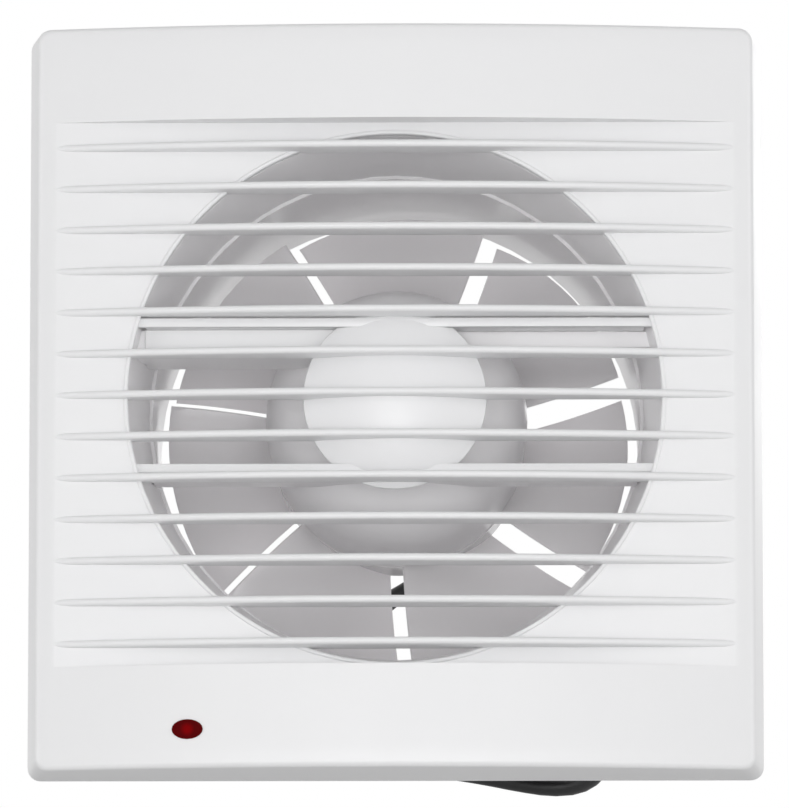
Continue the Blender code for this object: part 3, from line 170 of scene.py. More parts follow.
BAR_PLACES = (18.3 * MM, -17.2 * MM)
BAR_THICKNESS = 2.2 * MM
BAR_FRONT_Y = -16.3 * MM
BAR_BACK_Y = -8.6 * MM
BAR_BITE = 0.6 * MM
BAR_CLEARANCE = 1.5 * MM
BAR_STEP = 0.4 * MM
BAR_ROUNDING = 0.3 * MM
BOSS_RADIUS = 22 * MM
BOSS_RIM_Y = -15 * MM
BOSS_RISE = 5.5 * MM
BOSS_WALL = 1.6 * MM
BOSS_LIP = (0.2 * MM, 0.5 * MM)
BOSS_STEPS = (14, 96)
LENS_MIDDLE = (-49.6 * MM, -81.1 * MM)
LENS_HOLE = (8.1 * MM, 5.4 * MM)
LENS_HOLE_Y = -18 * MM
LENS_HOLE_DEPTH = 20 * MM
LENS_HOLE_STEPS = 64
# The painted glow in the lens, a brighter dot that stands for the lamp's light, fades from 0.7 mm to 1.8
# mm from its middle.
LENS_PAINTED_GLOW_FALL = 900
LENS_PAINTED_GLOW_EDGE = 0.6
CLIP_PLACES = (-50 * MM, 50 * MM)
CLIP_HALF_HEIGHT = 4 * MM
CLIP_ROUNDING = 0.2 * MM
# Each clip is a tongue and its hook: nearest and furthest from the middle, front and back, in mm.
CLIP_PARTS = ((84.6, 86.5, -9, -2), (83.2, 86.5, -7.5, -5))

# The impeller: an open hub with seven twisted blades.
BLADE_COUNT = 7
BLADE_TIP_RADIUS = 57 * MM
BLADE_THICKNESS = 1.5 * MM
BLADE_GAP = 3.3 * MM
BLADE_PHASE = 39
BLADE_SWEEP = 3
BLADE_CAMBER = 1.6 * MM
BLADE_FRONT_Y = 54.8 * MM
BLADE_BACK_Y = 71 * MM
BLADE_TIP_THINNING = 0.25
BLADE_END_THINNING = 0.55
BLADE_EDGE_POWER = 0.4
BLADE_STEPS = (14, 36)
HUB_RADIUS = 31.2 * MM
HUB_WALL = 1.7 * MM
HUB_FRONT_Y = 56 * MM
HUB_BACK_Y = 72 * MM
HUB_WEB = 2.5 * MM
HUB_BOSS_RADIUS = 6 * MM
HUB_BOSS_Y = 55.6 * MM
HUB_BORE = 2.3 * MM
HUB_EDGE = 0.4 * MM
HUB_FRONT_EDGE = 0.5 * MM
HUB_REAR_EDGE = 1.2 * MM
HUB_REAR_STEP = 0.35 * MM

# Pieces of the part's source that get rounded edges here.
SOFT_EDGES = {"plug_body": 1.2 * MM, "cord_tie": 0.3 * MM, "channel_cover": 0.3 * MM}

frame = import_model()


class Value:
    """A shader socket that adds Math nodes when it meets an operator."""

    def __init__(self, nodes, socket):
        self.nodes = nodes
        self.socket = socket

    def _maths(self, operation, first, second):
        return self.nodes.node("ShaderNodeMath", {"operation": operation}, {0: first, 1: second})

    def __add__(self, other):
        return self._maths("ADD", self, other)

    def __sub__(self, other):
        return self._maths("SUBTRACT", self, other)

    def __rsub__(self, other):
        return self._maths("SUBTRACT", other, self)

    def __mul__(self, other):
        return self._maths("MULTIPLY", self, other)

    def larger(self, other):
        return self._maths("MAXIMUM", self, other)

    __radd__ = __add__
    __rmul__ = __mul__


class Nodes:
    """An empty node tree, which one method fills."""

    def __init__(self, tree):
        self.tree = tree
        self.tree.nodes.clear()

    def node(self, kind, settings=None, inputs=None, out=0):
        """Adds a node with its settings and its inputs, and gives the named output."""
        made = self.tree.nodes.new(kind)
        for name, value in (settings or {}).items():
            setattr(made, name, value)
        for name, value in (inputs or {}).items():
            if isinstance(value, Value):
                self.tree.links.new(value.socket, made.inputs[name])
            else:
                made.inputs[name].default_value = value
        return Value(self, made.outputs[out]) if len(made.outputs) else None


class Finish(Nodes):
    """A procedural material."""

    def __init__(self, name):
        self.material = bpy.data.materials.new(name)
        self.material.use_nodes = True
        super().__init__(self.material.node_tree)
        self.place = self.node("ShaderNodeTexCoord", out="Object")

    def noise(self, scale, detail=2.0, roughness=0.5):
        inputs = {"Vector": self.place, "Scale": scale, "Detail": detail, "Roughness": roughness}
        return self.node("ShaderNodeTexNoise", {"noise_dimensions": "3D"}, inputs, out="Fac")

    def mix(self, factor, first, second):
        settings = {"data_type": "RGBA", "clamp_factor": True}
        return self.node("ShaderNodeMix", settings, {0: factor, 6: first, 7: second}, out=2)

    def bump(self, height, strength, distance):
        inputs = {"Height": height, "Strength": strength, "Distance": distance}
        return self.node("ShaderNodeBump", None, inputs)

    def surface(self, **sockets):
        inputs = {name.replace("_", " "): value for name, value in sockets.items()}
        return self.finished(self.node("ShaderNodeBsdfPrincipled", None, inputs))

    def finished(self, shader):
        self.node("ShaderNodeOutputMaterial", None, {"Surface": shader})
        return self.material


def moulded_plastic(name, colour, shade, roughness, grain=0.12):
    """White plastic from a mould: a faint cloudiness, fine grain and uneven gloss."""
    finish = Finish(name)
    cloud = finish.noise(28, 3)
    grain_height = finish.noise(2600, 2)
    base = finish.mix(cloud, (*colour, 1), (*shade, 1))
    gloss = cloud * 0.10 + (roughness - 0.05)
    bump = finish.bump(grain_height, grain, 0.02 * MM)
    return finish.surface(Base_Color=base, Roughness=gloss, Normal=bump)


def turned_metal(name, colour, shade, roughness):
    """Plain metal, unevenly worn and with a fine grain."""
    finish = Finish(name)
    wear = finish.noise(160, 4, 0.6)
    base = finish.mix(wear, (*colour, 1), (*shade, 1))
    gloss = wear * 0.2 + (roughness - 0.1)
    bump = finish.bump(finish.noise(1800, 2), 0.15, 0.02 * MM)
    return finish.surface(Base_Color=base, Roughness=gloss, Metallic=1.0, Normal=bump)


def red_lens():
    """Clear dark red: a painted glow, a brighter dot over the lamp that stands for its light, deeper
    round it, and a slightly uneven face.
    """
    finish = Finish("red_lens")
    across, up = LENS_MIDDLE
    inputs = {"Vector": finish.place, "Location": (-across, 0, -up), "Scale": (1, 0, 1)}
    from_middle = finish.node("ShaderNodeMapping", None, inputs)
    radius = finish.node("ShaderNodeVectorMath", {"operation": "LENGTH"}, {0: from_middle}, out="Value")
    # Painted glow: the lens is painted brighter over the lamp's middle, fading out to the deep red round
    # it.
    painted_glow_dot = radius * LENS_PAINTED_GLOW_FALL - LENS_PAINTED_GLOW_EDGE
    cloud = finish.noise(420, 2)
    deep = finish.mix(cloud, (0.105, 0.0010, 0.0018, 1), (0.080, 0.0008, 0.0014, 1))
    base = finish.mix(painted_glow_dot, (0.21, 0.0004, 0.0014, 1), deep)
    bump = finish.bump(finish.noise(900, 2), 0.2, 0.05 * MM)
    return finish.surface(Base_Color=base, Roughness=0.35, Specular_IOR_Level=0.02, Normal=bump)


def cord_sheath():
    """Black rubbery sheath with a faint bloom."""
    finish = Finish("cord_sheath")
    bloom = finish.noise(90, 3)
    base = finish.mix(bloom, (0.010, 0.010, 0.011, 1), (0.018, 0.018, 0.019, 1))
    gloss = bloom * 0.15 + 0.33
    bump = finish.bump(finish.noise(900, 2), 0.1, 0.03 * MM)
    return finish.surface(Base_Color=base, Roughness=gloss, Normal=bump)


def flat_finish(name, colour, roughness=0.5):
    """A plain cloudy plastic for the small pieces inside."""
    finish = Finish(name)
    cloud = finish.noise(300, 2)
    shade = tuple(c * 0.85 for c in colour)
    base = finish.mix(cloud, (*colour, 1), (*shade, 1))
    return finish.surface(Base_Color=base, Roughness=cloud * 0.1 + (roughness - 0.05))


FINISHES = {
    "cover_white": moulded_plastic("cover_plastic", (0.82, 0.82, 0.825), (0.80, 0.80, 0.81), 0.34),
    # Painted light: the housing and impeller are the same white plastic as the cover, painted lighter to
    # stand in for light in the dim inside of the fan.
    "housing_white": moulded_plastic("housing_plastic_painted_lighter", (0.94, 0.93, 0.94), (0.92, 0.91, 0.92), 0.32),
    "impeller_white": moulded_plastic(
        "impeller_plastic_painted_lighter", (0.94, 0.925, 0.935), (0.92, 0.90, 0.915), 0.24
    ),
    "lens_red": red_lens(),
    "black_rubber": cord_sheath(),
    "steel": turned_metal("screw_steel", (0.60, 0.60, 0.62), (0.45, 0.45, 0.47), 0.35),
    "brass": turned_metal("pin_brass", (0.78, 0.60, 0.32), (0.62, 0.46, 0.22), 0.32),
    "copper": turned_metal("winding_copper", (0.62, 0.25, 0.12), (0.45, 0.17, 0.08), 0.4),
    "bronze": turned_metal("bearing_bronze", (0.46, 0.31, 0.18), (0.36, 0.24, 0.13), 0.5),
    "lamination": turned_metal("core_steel", (0.26, 0.26, 0.28), (0.18, 0.18, 0.19), 0.5),
    "board_green": flat_finish("lamp_board", (0.05, 0.20, 0.09)),
    "block_cream": flat_finish("block_plastic", (0.78, 0.75, 0.66), 0.45),
    "lead_brown": flat_finish("lead_insulation", (0.16, 0.07, 0.03), 0.45),
}
SLOTS = {entry["node"]: entry["material_slot"] for entry in frame["record"]["subparts"]}
BODIES = {node: body for body, nodes in frame["record"]["behaviour"]["bodies"].items() for node in nodes}


def add(name, shape, slot, body, *nodes, angle=32):
    """Turns a bmesh into a piece that rides on a body and may stand for some nodes."""
    for edge in shape.edges:
        flat = len(edge.link_faces) == 2 and edge.calc_face_angle(math.pi) < math.radians(angle)
        edge.smooth = edge.smooth and flat
    for face in shape.faces:
        face.smooth = True
    mesh = bpy.data.meshes.new(name)
    shape.to_mesh(mesh)
    shape.free()
    made = bpy.data.objects.new(name, mesh)
    bpy.context.scene.collection.objects.link(made)
    mesh.materials.append(FINISHES[slot])
    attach(made, body)
    if nodes:
        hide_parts(*nodes)
    return made


def smoothed(node, angle=32):
    """A merged copy of a node's mesh, so that its round faces shade smoothly."""
    shape = bmesh.new()
    shape.from_mesh(frame["nodes"][node].data)
    bmesh.ops.remove_doubles(shape, verts=shape.verts, dist=MERGE_REACH)
    bmesh.ops.dissolve_limit(
        shape, angle_limit=math.radians(0.5), verts=shape.verts, edges=shape.edges
    )
    made = add(f"{node}_finished", shape, SLOTS[node], BODIES[node], node, angle=angle)
    if node in SOFT_EDGES:
        bevel = made.modifiers.new("soft_edges", "BEVEL")
        bevel.width = SOFT_EDGES[node]
        bevel.segments = 3
        bevel.limit_method = "ANGLE"
        bevel.angle_limit = math.radians(angle)
    return made


def gather(*shapes):
    """One bmesh of several closed ones."""
    whole = bmesh.new()
    for shape in shapes:
        mesh = bpy.data.meshes.new("gathered")
        shape.to_mesh(mesh)
        shape.free()
        whole.from_mesh(mesh)
        bpy.data.meshes.remove(mesh)
    return whole


def closed(shape):
    """Merges a shape's seams, fills its open ends and turns its faces outwards."""
    bmesh.ops.remove_doubles(shape, verts=shape.verts, dist=0.002 * MM)
    bmesh.ops.holes_fill(shape, edges=[edge for edge in shape.edges if edge.is_boundary], sides=0)
    bmesh.ops.recalc_face_normals(shape, faces=shape.faces)
    return shape


def sleeve(steps_along, steps_round, place):
    """A grid bent into a closed tube, each point at place(along, round) for shares from 0 to 1."""
    shape = bmesh.new()
    bmesh.ops.create_grid(shape, x_segments=steps_along, y_segments=steps_round, size=0.5)
    for vertex in shape.verts:
        vertex.co = place(vertex.co.x + 0.5, vertex.co.y + 0.5)
    return closed(shape)


def spun(profile, steps=128):
    """A closed solid turned about the Y axis from an outline of (radius, y) points."""
    shape = bmesh.new()
    points = [shape.verts.new((radius, y, 0)) for radius, y in profile]
    for first, second in zip(points, points[1:] + points[:1]):
        shape.edges.new((first, second))
    bmesh.ops.spin(
        shape,
        geom=shape.verts[:] + shape.edges[:],
        axis=(0, 1, 0),
        cent=(0, 0, 0),
        angle=2 * math.pi,
        steps=steps,
        use_merge=True,
    )
    return closed(shape)


def block(low, high, rounding=0.0):
    """A box between two corners, with its edges rounded a little."""
    shape = bmesh.new()
    bmesh.ops.create_cube(shape, size=1)
    low, high = Vector(low), Vector(high)
    bmesh.ops.scale(shape, vec=high - low, verts=shape.verts)
    bmesh.ops.translate(shape, vec=(high + low) / 2, verts=shape.verts)
    if rounding:
        rounded(shape, shape.edges[:], rounding, 2)
    return shape


def rounded(shape, edges, radius, segments):
    """Bevels some edges into arcs."""
    bmesh.ops.bevel(
        shape, geom=edges, offset=radius, segments=segments, profile=0.5, affect="EDGES", material=-1
    )


def without(shape, cutter):
    """A shape with another cut out of it."""
    made = []
    for name, solid in (("kept", shape), ("cutter", cutter)):
        mesh = bpy.data.meshes.new(name)
        solid.to_mesh(mesh)
        solid.free()
        made.append(bpy.data.objects.new(name, mesh))
        bpy.context.scene.collection.objects.link(made[-1])
    kept, tool = made
    step = kept.modifiers.new("cut", "BOOLEAN")
    step.operation = "DIFFERENCE"
    step.solver = "EXACT"
    step.object = tool
    graph = bpy.context.evaluated_depsgraph_get()
    mesh = bpy.data.meshes.new_from_object(kept.evaluated_get(graph))
    result = bmesh.new()
    result.from_mesh(mesh)
    for object_made in made:
        bpy.data.objects.remove(object_made, do_unlink=True)
    bpy.data.meshes.remove(mesh)
    return result


def bow(x):
    """The bowed face's place along Y, at a distance x from the middle."""
    return PANEL_EDGE_Y - PANEL_BOW * (1 - (x / PANEL_FRONT_HALF) ** 2)


def recess(x):
    """The recess's place along Y, which runs out smoothly into the bowed face."""
    depth = bow(x) - RECESS_Y
    if abs(depth) < RECESS_BLEND:
        return RECESS_Y + (depth + RECESS_BLEND) ** 2 / (4 * RECESS_BLEND)
    return max(bow(x), RECESS_Y)


def on_recess(vertex):
    return abs(vertex.co.y - RECESS_Y) < TOUCH_REACH


def in_recess_rows(z):
    return RECESS_BOTTOM - MM < z < RECESS_TOP + MM


def cover_columns():
    """Places across the cover: even over the flat recess, closer where it runs out, then the edge."""
    run_out = RECESS_END - RECESS_FLAT_END
    ends = [RECESS_FLAT_END + run_out * i / RECESS_END_STEPS for i in range(1, RECESS_END_STEPS + 1)]
    ends.append(PANEL_FRONT_HALF)
    flat = [RECESS_FLAT_END * (2 * i / RECESS_STEPS - 1) for i in range(RECESS_STEPS + 1)]
    return [-x for x in reversed(ends)] + flat + ends


def cover_face():
    """The bowed face as a grid, with its rows between the recess's lips sunk."""
    shape = bmesh.new()
    columns = cover_columns()
    corner = PANEL_FRONT_END - PANEL_CORNER_ROOM
    rows = [
        (-PANEL_FRONT_END, bow),
        (-corner, bow),
        (RECESS_BOTTOM, bow),
        (RECESS_BOTTOM, recess),
        (RECESS_TOP, recess),
        (RECESS_TOP, bow),
        (corner, bow),
        (PANEL_FRONT_END, bow),
    ]
    across, up = len(columns) - 1, len(rows) - 1
    bmesh.ops.create_grid(shape, x_segments=across, y_segments=up, size=0.5)
    for vertex in shape.verts:
        x = columns[round((vertex.co.x + 0.5) * across)]
        z, depth = rows[round((vertex.co.y + 0.5) * up)]
        vertex.co = (x, depth(x), z)
    bmesh.ops.remove_doubles(shape, verts=shape.verts, dist=MERGE_REACH)
    return shape


def draw_sides(shape):
    """Draws the face's border back into four drafted walls."""
    border = [edge for edge in shape.edges if edge.is_boundary]
    sides = bmesh.ops.extrude_edge_only(shape, edges=border)
    spread = Matrix.Diagonal((PANEL_WIDTH / 2 / PANEL_FRONT_HALF, 1, PANEL_HEIGHT / 2 / PANEL_FRONT_END))
    for vertex in (item for item in sides["geom"] if isinstance(item, bmesh.types.BMVert)):
        vertex.co = spread @ vertex.co
        vertex.co.y = PANEL_BACK_Y


def round_corners(shape):
    """Rounds the four corners, then the edge between the face and the walls."""
    reach = 0.1 * MM
    posts = []
    for edge in shape.edges:
        first, second = (vertex.co for vertex in edge.verts)
        at_corner = min(abs(first.x), abs(second.x)) > PANEL_FRONT_HALF - reach
        at_corner = at_corner and min(abs(first.z), abs(second.z)) > PANEL_FRONT_END - reach
        if at_corner and abs(first.y - second.y) > 5 * MM:
            posts.append(edge)
    rounded(shape, posts, PANEL_CORNER, 6)
    outline = []
    for edge in shape.edges:
        on_front = all(vertex.co.y < PANEL_EDGE_Y + 0.5 * MM for vertex in edge.verts)
        sharp = len(edge.link_faces) == 2 and edge.calc_face_angle(0) > math.radians(PANEL_SHARP_ANGLE)
        middle = (edge.verts[0].co + edge.verts[1].co) / 2
        at_lip = abs(middle.x) < RECESS_END and in_recess_rows(middle.z)
        if on_front and sharp and not at_lip:
            outline.append(edge)
    rounded(shape, outline, PANEL_ROUNDING, 4)


def open_plate(shape):
    """Puts a plate with the round opening in the place of the recess's flat floor."""
    floor_faces = [
        face
        for face in shape.faces
        if all(on_recess(vertex) and in_recess_rows(vertex.co.z) for vertex in face.verts)
    ]
    bmesh.ops.delete(shape, geom=floor_faces, context="FACES")
    turn = Matrix.Translation((0, RECESS_Y, 0)) @ Matrix.Rotation(math.pi / 2, 4, "X")
    bmesh.ops.create_circle(
        shape, cap_ends=False, segments=OPENING_STEPS, radius=OPENING_RADIUS, matrix=turn
    )
    borders = [
        edge
        for edge in shape.edges
        if len(edge.link_faces) < 2 and all(on_recess(vertex) for vertex in edge.verts)
    ]
    filled = bmesh.ops.triangle_fill(shape, edges=borders, use_beauty=True)
    for face in (item for item in filled["geom"] if isinstance(item, bmesh.types.BMFace)):
        for edge in face.edges:
            edge.smooth = len(edge.link_faces) == 2 and edge.calc_face_angle(0) < math.radians(1)


def thicken(shape):
    """Turns the face outwards and gives the shell its wall behind it."""
    bmesh.ops.recalc_face_normals(shape, faces=shape.faces)
    if shape.faces[0].normal.y > 0:
        bmesh.ops.reverse_faces(shape, faces=shape.faces[:])
    bmesh.ops.solidify(shape, geom=shape.faces[:], thickness=PANEL_WALL)


def round_rim(shape):
    """Rounds the opening's front edge."""
    rim = []
    for edge in shape.edges:
        radii = [math.hypot(vertex.co.x, vertex.co.z) for vertex in edge.verts]
        on_circle = all(abs(radius - OPENING_RADIUS) < TOUCH_REACH for radius in radii)
        if on_circle and all(on_recess(vertex) for vertex in edge.verts):
            rim.append(edge)
    rounded(shape, rim, OPENING_ROUNDING, 4)


def lens_hole():
    """The oval that the indicator lens sits in."""
    hole = bmesh.new()
    bmesh.ops.create_cone(
        hole, cap_ends=True, segments=LENS_HOLE_STEPS, radius1=0.5, radius2=0.5, depth=LENS_HOLE_DEPTH
    )
    across, up = LENS_MIDDLE
    width, height = LENS_HOLE
    for vertex in hole.verts:
        x, z, y = vertex.co
        vertex.co = (across + x * width, y + LENS_HOLE_Y, up + z * height)
    bmesh.ops.recalc_face_normals(hole, faces=hole.faces)
    return hole


def cover_shell():
    """The cover's shell: bowed across, sunk to the flat recess, with drafted walls and two holes."""
    shape = cover_face()
    draw_sides(shape)
    round_corners(shape)
    open_plate(shape)
    thicken(shape)
    round_rim(shape)
    return without(shape, lens_hole())


def slat(z):
    """One slat: round-nosed, its front edge on the bowed face's own curve."""
    half = SLAT_THICKNESS / 2

    def place(along, about):
        x = SLAT_REACH * (2 * along - 1)
        if SLAT_BACK_SHARE < about < 1 - SLAT_BACK_SHARE:
            turn = math.pi * (about - SLAT_BACK_SHARE) / (1 - 2 * SLAT_BACK_SHARE)
            nose = bow(x) + SLAT_SET_BACK
            return Vector((x, nose + half * (1 - math.sin(turn)), z - half * math.cos(turn)))
        side = 0 if about in (0, 1) else math.copysign(half, about - 0.5)
        return Vector((x, SLAT_BACK_Y, z + side))

    return sleeve(*SLAT_STEPS, place)


def rim_bead():
    """The thin round bead that runs round the opening, its back sunk in the plate."""
    half = RIM_BEAD_WIDTH / 2
    outline = []
    for i in range(RIM_BEAD_STEPS + 1):
        angle = math.pi * i / RIM_BEAD_STEPS
        radius = OPENING_RADIUS + half - half * math.cos(angle)
        outline.append((radius, RECESS_Y - RIM_BEAD_RISE * math.sin(angle)))
    sunk = RECESS_Y + half
    outline += [(OPENING_RADIUS + RIM_BEAD_WIDTH, sunk), (OPENING_RADIUS, sunk)]
    return spun(outline, OPENING_STEPS)


def bar(z):
    """One cross bar behind the slats, from rim to rim of the opening."""
    half = BAR_THICKNESS / 2
    clear = math.sqrt((OPENING_RADIUS - BAR_CLEARANCE) ** 2 - z * z)
    deep = math.sqrt((OPENING_RADIUS + BAR_BITE) ** 2 - z * z)
    front = block((-deep, BAR_FRONT_Y, z - half), (deep, SLAT_BACK_Y, z + half), BAR_ROUNDING)
    back = block((-clear, BAR_FRONT_Y + BAR_STEP, z - half), (clear, BAR_BACK_Y, z + half), BAR_ROUNDING)
    return gather(front, back)


def boss():
    """The round boss in the middle of the slats: a shallow dome with a rolled rim, hollow behind."""
    steps_out, steps_round = BOSS_STEPS
    outer = []
    for i in range(steps_out + 1):
        outer.append((BOSS_RADIUS * i / steps_out, BOSS_RIM_Y - BOSS_RISE * (1 - (i / steps_out) ** 2)))
    lip_out, lip_back = BOSS_LIP
    rim = [(BOSS_RADIUS + lip_out, BOSS_RIM_Y + lip_back), (BOSS_RADIUS, BOSS_RIM_Y + BOSS_WALL)]
    inner = [(r - BOSS_WALL * r / BOSS_RADIUS, y + BOSS_WALL) for r, y in reversed(outer)]
    return spun(outer + rim + inner, steps_round)


def clips():
    """The four clips inside the cover's side walls that snap into the housing's rim."""
    shapes = []
    for side in (-1, 1):
        for z in CLIP_PLACES:
            for near, far, front, back in CLIP_PARTS:
                left, right = sorted((side * near * MM, side * far * MM))
                low = (left, front * MM, z - CLIP_HALF_HEIGHT)
                high = (right, back * MM, z + CLIP_HALF_HEIGHT)
                shapes.append(block(low, high, CLIP_ROUNDING))
    return shapes


def front_cover():
    """The whole cover, which stands for the part's grille."""
    top = SLAT_MIDDLE_Z + SLAT_PITCH * (SLAT_COUNT - 1) / 2
    slats = [slat(top - SLAT_PITCH * i) for i in range(SLAT_COUNT)]
    bars = [bar(z) for z in BAR_PLACES]
    whole = gather(cover_shell(), rim_bead(), *slats, *bars, boss(), *clips())
    return add("front_cover", whole, "cover_white", "fan_frame", "front_grille", angle=28)


def blade_point(along, out, side):
    """A point on a blade's face, from its front edge to its rear one and from hub to tip."""

    def sheet(along, out):
        root = HUB_RADIUS - HUB_WALL / 2
        radius = root + (BLADE_TIP_RADIUS - root) * out
        span = 360 / BLADE_COUNT - math.degrees(BLADE_GAP / radius)
        angle = math.radians(BLADE_PHASE + (along - 0.5) * span + BLADE_SWEEP * (out - 0.5))
        straight = BLADE_FRONT_Y + (BLADE_BACK_Y - BLADE_FRONT_Y) * along
        y = straight - BLADE_CAMBER * math.sin(math.pi * along)
        return Vector((radius * math.cos(angle), y, radius * math.sin(angle)))

    nudge = 0.001
    here = sheet(along, out)
    normal = (sheet(along + nudge, out) - here).cross(sheet(along, out + nudge) - here).normalized()
    return here + normal * side


def blade(turn):
    """One blade, with round edges and a slightly thinner tip."""

    def place(out, about):
        turn_about = 2 * math.pi * about
        along = 0.5 - 0.5 * math.cos(turn_about)
        thick = BLADE_THICKNESS / 2 * (1 - BLADE_TIP_THINNING * out)
        if out > 0.99:
            thick *= BLADE_END_THINNING
        swell = abs(math.sin(turn_about)) ** BLADE_EDGE_POWER
        return blade_point(along, out, math.copysign(swell, math.sin(turn_about)) * thick)

    shape = sleeve(*BLADE_STEPS, place)
    bmesh.ops.rotate(shape, cent=(0, 0, 0), matrix=Matrix.Rotation(-turn, 3, "Y"), verts=shape.verts)
    return shape


def fan_wheel():
    """The impeller: a hub open to the front, on its boss, with the blades round it."""
    inner = HUB_RADIUS - HUB_WALL
    hub = [
        (HUB_BORE, HUB_BOSS_Y),
        (HUB_BOSS_RADIUS - HUB_EDGE, HUB_BOSS_Y),
        (HUB_BOSS_RADIUS, HUB_BOSS_Y + HUB_EDGE),
        (HUB_BOSS_RADIUS, HUB_BACK_Y - HUB_WEB),
        (inner, HUB_BACK_Y - HUB_WEB),
        (inner, HUB_FRONT_Y + HUB_EDGE),
        (inner + HUB_EDGE, HUB_FRONT_Y),
        (HUB_RADIUS - HUB_FRONT_EDGE, HUB_FRONT_Y),
        (HUB_RADIUS, HUB_FRONT_Y + HUB_FRONT_EDGE),
        (HUB_RADIUS, HUB_BACK_Y - HUB_REAR_EDGE),
        (HUB_RADIUS - HUB_REAR_STEP, HUB_BACK_Y - HUB_REAR_STEP),
        (HUB_RADIUS - HUB_REAR_EDGE, HUB_BACK_Y),
        (HUB_BORE, HUB_BACK_Y),
    ]
    blades = [blade(2 * math.pi * i / BLADE_COUNT) for i in range(BLADE_COUNT)]
    return add("fan_wheel", gather(spun(hub), *blades), "impeller_white", "rotating_group", "impeller")


def smooth_route(points, count):
    """Evenly spaced points on a smooth curve through the given ones."""
    knots = [2 * points[0] - points[1], *points, 2 * points[-1] - points[-2]]
    dense = []
    for before, start, end, after in zip(knots, knots[1:], knots[2:], knots[3:]):
        for step in range(ROUTE_STEPS):
            t = step / ROUTE_STEPS
            dense.append(
                0.5
                * (
                    2 * start
                    + (end - before) * t
                    + (2 * before - 5 * start + 4 * end - after) * t**2
                    + (3 * start - before - 3 * end + after) * t**3
                )
            )
    dense.append(points[-1])
    run = [0.0]
    for first, second in zip(dense, dense[1:]):
        run.append(run[-1] + (second - first).length)
    spots, k = [], 0
    for i in range(count):
        wanted = run[-1] * i / (count - 1)
        while k < len(run) - 2 and run[k + 1] < wanted:
            k += 1
        share = (wanted - run[k]) / (run[k + 1] - run[k])
        spots.append(dense[k].lerp(dense[k + 1], min(1.0, share)))
    return spots


def coil_point(turns):
    """A point on the coil, which winds in on its upper layer and out again on the lower one."""
    angle = -2 * math.pi * turns
    radius = COIL_INNER_RADIUS + COIL_PITCH * abs(turns - COIL_TURNS_IN)
    share = min(1.0, max(0.0, (turns - COIL_TURNS_IN) / COIL_CLIMB_TURNS + 0.5))
    drop = COIL_PITCH * share * share * (3 - 2 * share)
    x, y = COIL_MIDDLE
    return Vector((x + radius * math.cos(angle), y + radius * math.sin(angle), COIL_TOP_Z - drop))


def cord_route():
    """The cord's whole middle line, from the strain relief to the plug."""
    turns = COIL_TURNS_IN + COIL_TURNS_OUT
    count = round(turns * COIL_POINTS_A_TURN)
    ring = [coil_point(turns * i / count) for i in range(count + 1)]
    tail = Vector((COIL_END_X, ring[-1].y, ring[-1].z))
    coil = [ring[0] + Vector((0, CORD_DIAMETER, 0)), *ring]
    coil += [ring[-1].lerp(tail, i / COIL_TAIL_POINTS) for i in range(1, COIL_TAIL_POINTS + 1)]
    straight = Vector((0, CORD_DIAMETER, 0))
    start = Vector(CORD_START) * MM + Vector((0, CORD_GAP, 0))
    end = coil[0] + Vector((0, CORD_GAP, 0))
    loose = [start + straight, *[Vector(p) * MM for p in CORD_ROUTE], end + straight]
    return [start, *smooth_route(loose, CORD_ROUTE_POINTS), *coil]


def supply_cord():
    """The cord as one tube along its route."""
    points = cord_route()
    curve = bpy.data.curves.new("supply_cord", "CURVE")
    curve.dimensions = "3D"
    curve.bevel_depth = CORD_DIAMETER / 2
    curve.bevel_resolution = CORD_ROUND_STEPS
    curve.use_fill_caps = True
    curve.twist_mode = "MINIMUM"
    spline = curve.splines.new("POLY")
    spline.points.add(len(points) - 1)
    spline.use_smooth = True
    for point, place in zip(spline.points, points):
        point.co = (*place, 1)
    curve.materials.append(FINISHES["black_rubber"])
    made = bpy.data.objects.new("supply_cord", curve)
    bpy.context.scene.collection.objects.link(made)
    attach(made, "fan_frame")
    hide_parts("cord_run", "cord_coil")
    length = sum((b - a).length for a, b in zip(points, points[1:]))
    return made, points, length


def camera():
    turn, rise = math.radians(CAMERA_AZIMUTH), math.radians(CAMERA_ELEVATION)
    back = Vector((math.sin(turn) * math.cos(rise), -math.cos(turn) * math.cos(rise), math.sin(rise)))
    data = bpy.data.cameras.new("camera")
    data.sensor_width = SENSOR_WIDTH
    data.sensor_fit = "HORIZONTAL"
    data.lens = SENSOR_WIDTH * CAMERA_DISTANCE / FRAME_WIDTH
    made = bpy.data.objects.new("camera", data)
    made.location = Vector(CAMERA_AIM) + back * CAMERA_DISTANCE
    made.rotation_mode = "QUATERNION"
    made.rotation_quaternion = (-back).to_track_quat("-Z", "Y")
    bpy.context.scene.collection.objects.link(made)
    bpy.context.scene.camera = made


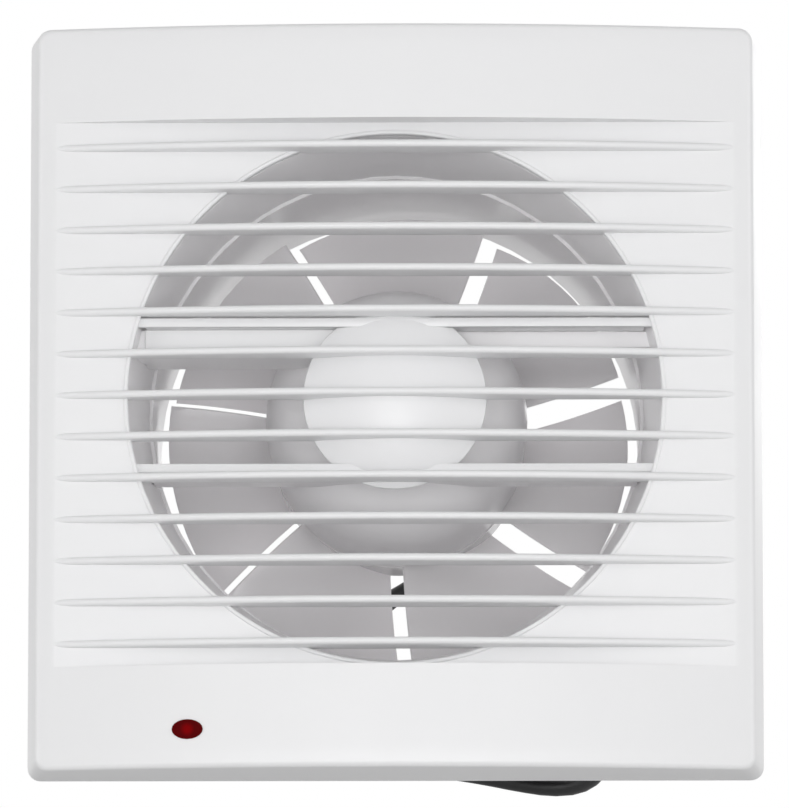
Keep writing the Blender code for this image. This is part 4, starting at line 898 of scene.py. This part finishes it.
def lamp(name, place, size, power):
    data = bpy.data.lights.new(name, "AREA")
    data.shape = "SQUARE"
    data.size = size
    data.energy = power
    made = bpy.data.objects.new(name, data)
    made.location = place
    made.rotation_mode = "QUATERNION"
    made.rotation_quaternion = (Vector(LAMP_AIM) - Vector(place)).to_track_quat("-Z", "Y")
    bpy.context.scene.collection.objects.link(made)


def world():
    """Soft even light, and a background that is white to the camera, through glass and in gloss."""
    studio = bpy.data.worlds.new("studio")
    bpy.context.scene.world = studio
    studio.use_nodes = True
    nodes = Nodes(studio.node_tree)
    seen, through, mirrored = (
        nodes.node("ShaderNodeLightPath", out=ray)
        for ray in ("Is Camera Ray", "Is Transmission Ray", "Is Glossy Ray")
    )
    light, background = (
        nodes.node("ShaderNodeBackground", None, {"Color": (1, 1, 1, 1), "Strength": strength})
        for strength in (WORLD_LIGHT, WHITE_BACKGROUND)
    )
    shown = seen.larger(through).larger(mirrored)
    mix = nodes.node("ShaderNodeMixShader", None, {0: shown, 1: light, 2: background})
    nodes.node("ShaderNodeOutputWorld", None, {"Surface": mix})


def floor():
    """A plain pale floor far below, which still takes a little of the shadow."""
    shape = bmesh.new()
    bmesh.ops.create_grid(shape, x_segments=1, y_segments=1, size=FLOOR_HALF_WIDTH)
    bmesh.ops.translate(shape, vec=(0, 0, FLOOR_Z), verts=shape.verts)
    mesh = bpy.data.meshes.new("floor")
    shape.to_mesh(mesh)
    shape.free()
    made = bpy.data.objects.new("floor", mesh)
    bpy.context.scene.collection.objects.link(made)
    finish = Finish("floor_paint")
    seen = finish.node("ShaderNodeLightPath", out="Is Camera Ray")
    paint = finish.node("ShaderNodeBsdfDiffuse", None, {"Color": FLOOR_GREY})
    white = finish.node("ShaderNodeEmission", None, {"Strength": WHITE_BACKGROUND})
    shader = finish.node("ShaderNodeMixShader", None, {0: seen * FLOOR_GLOW, 1: paint, 2: white})
    mesh.materials.append(finish.finished(shader))


camera()
cord, cord_points, cord_length = supply_cord()
front_cover()
fan_wheel()
for node in frame["nodes"]:
    if node not in ("cord_run", "cord_coil", "front_grille", "impeller"):
        smoothed(node)
tuple(cord_points[0])
world()
floor()
for settings in LAMPS:
    lamp(*settings)

scene = bpy.context.scene
scene.view_settings.view_transform = "Standard"
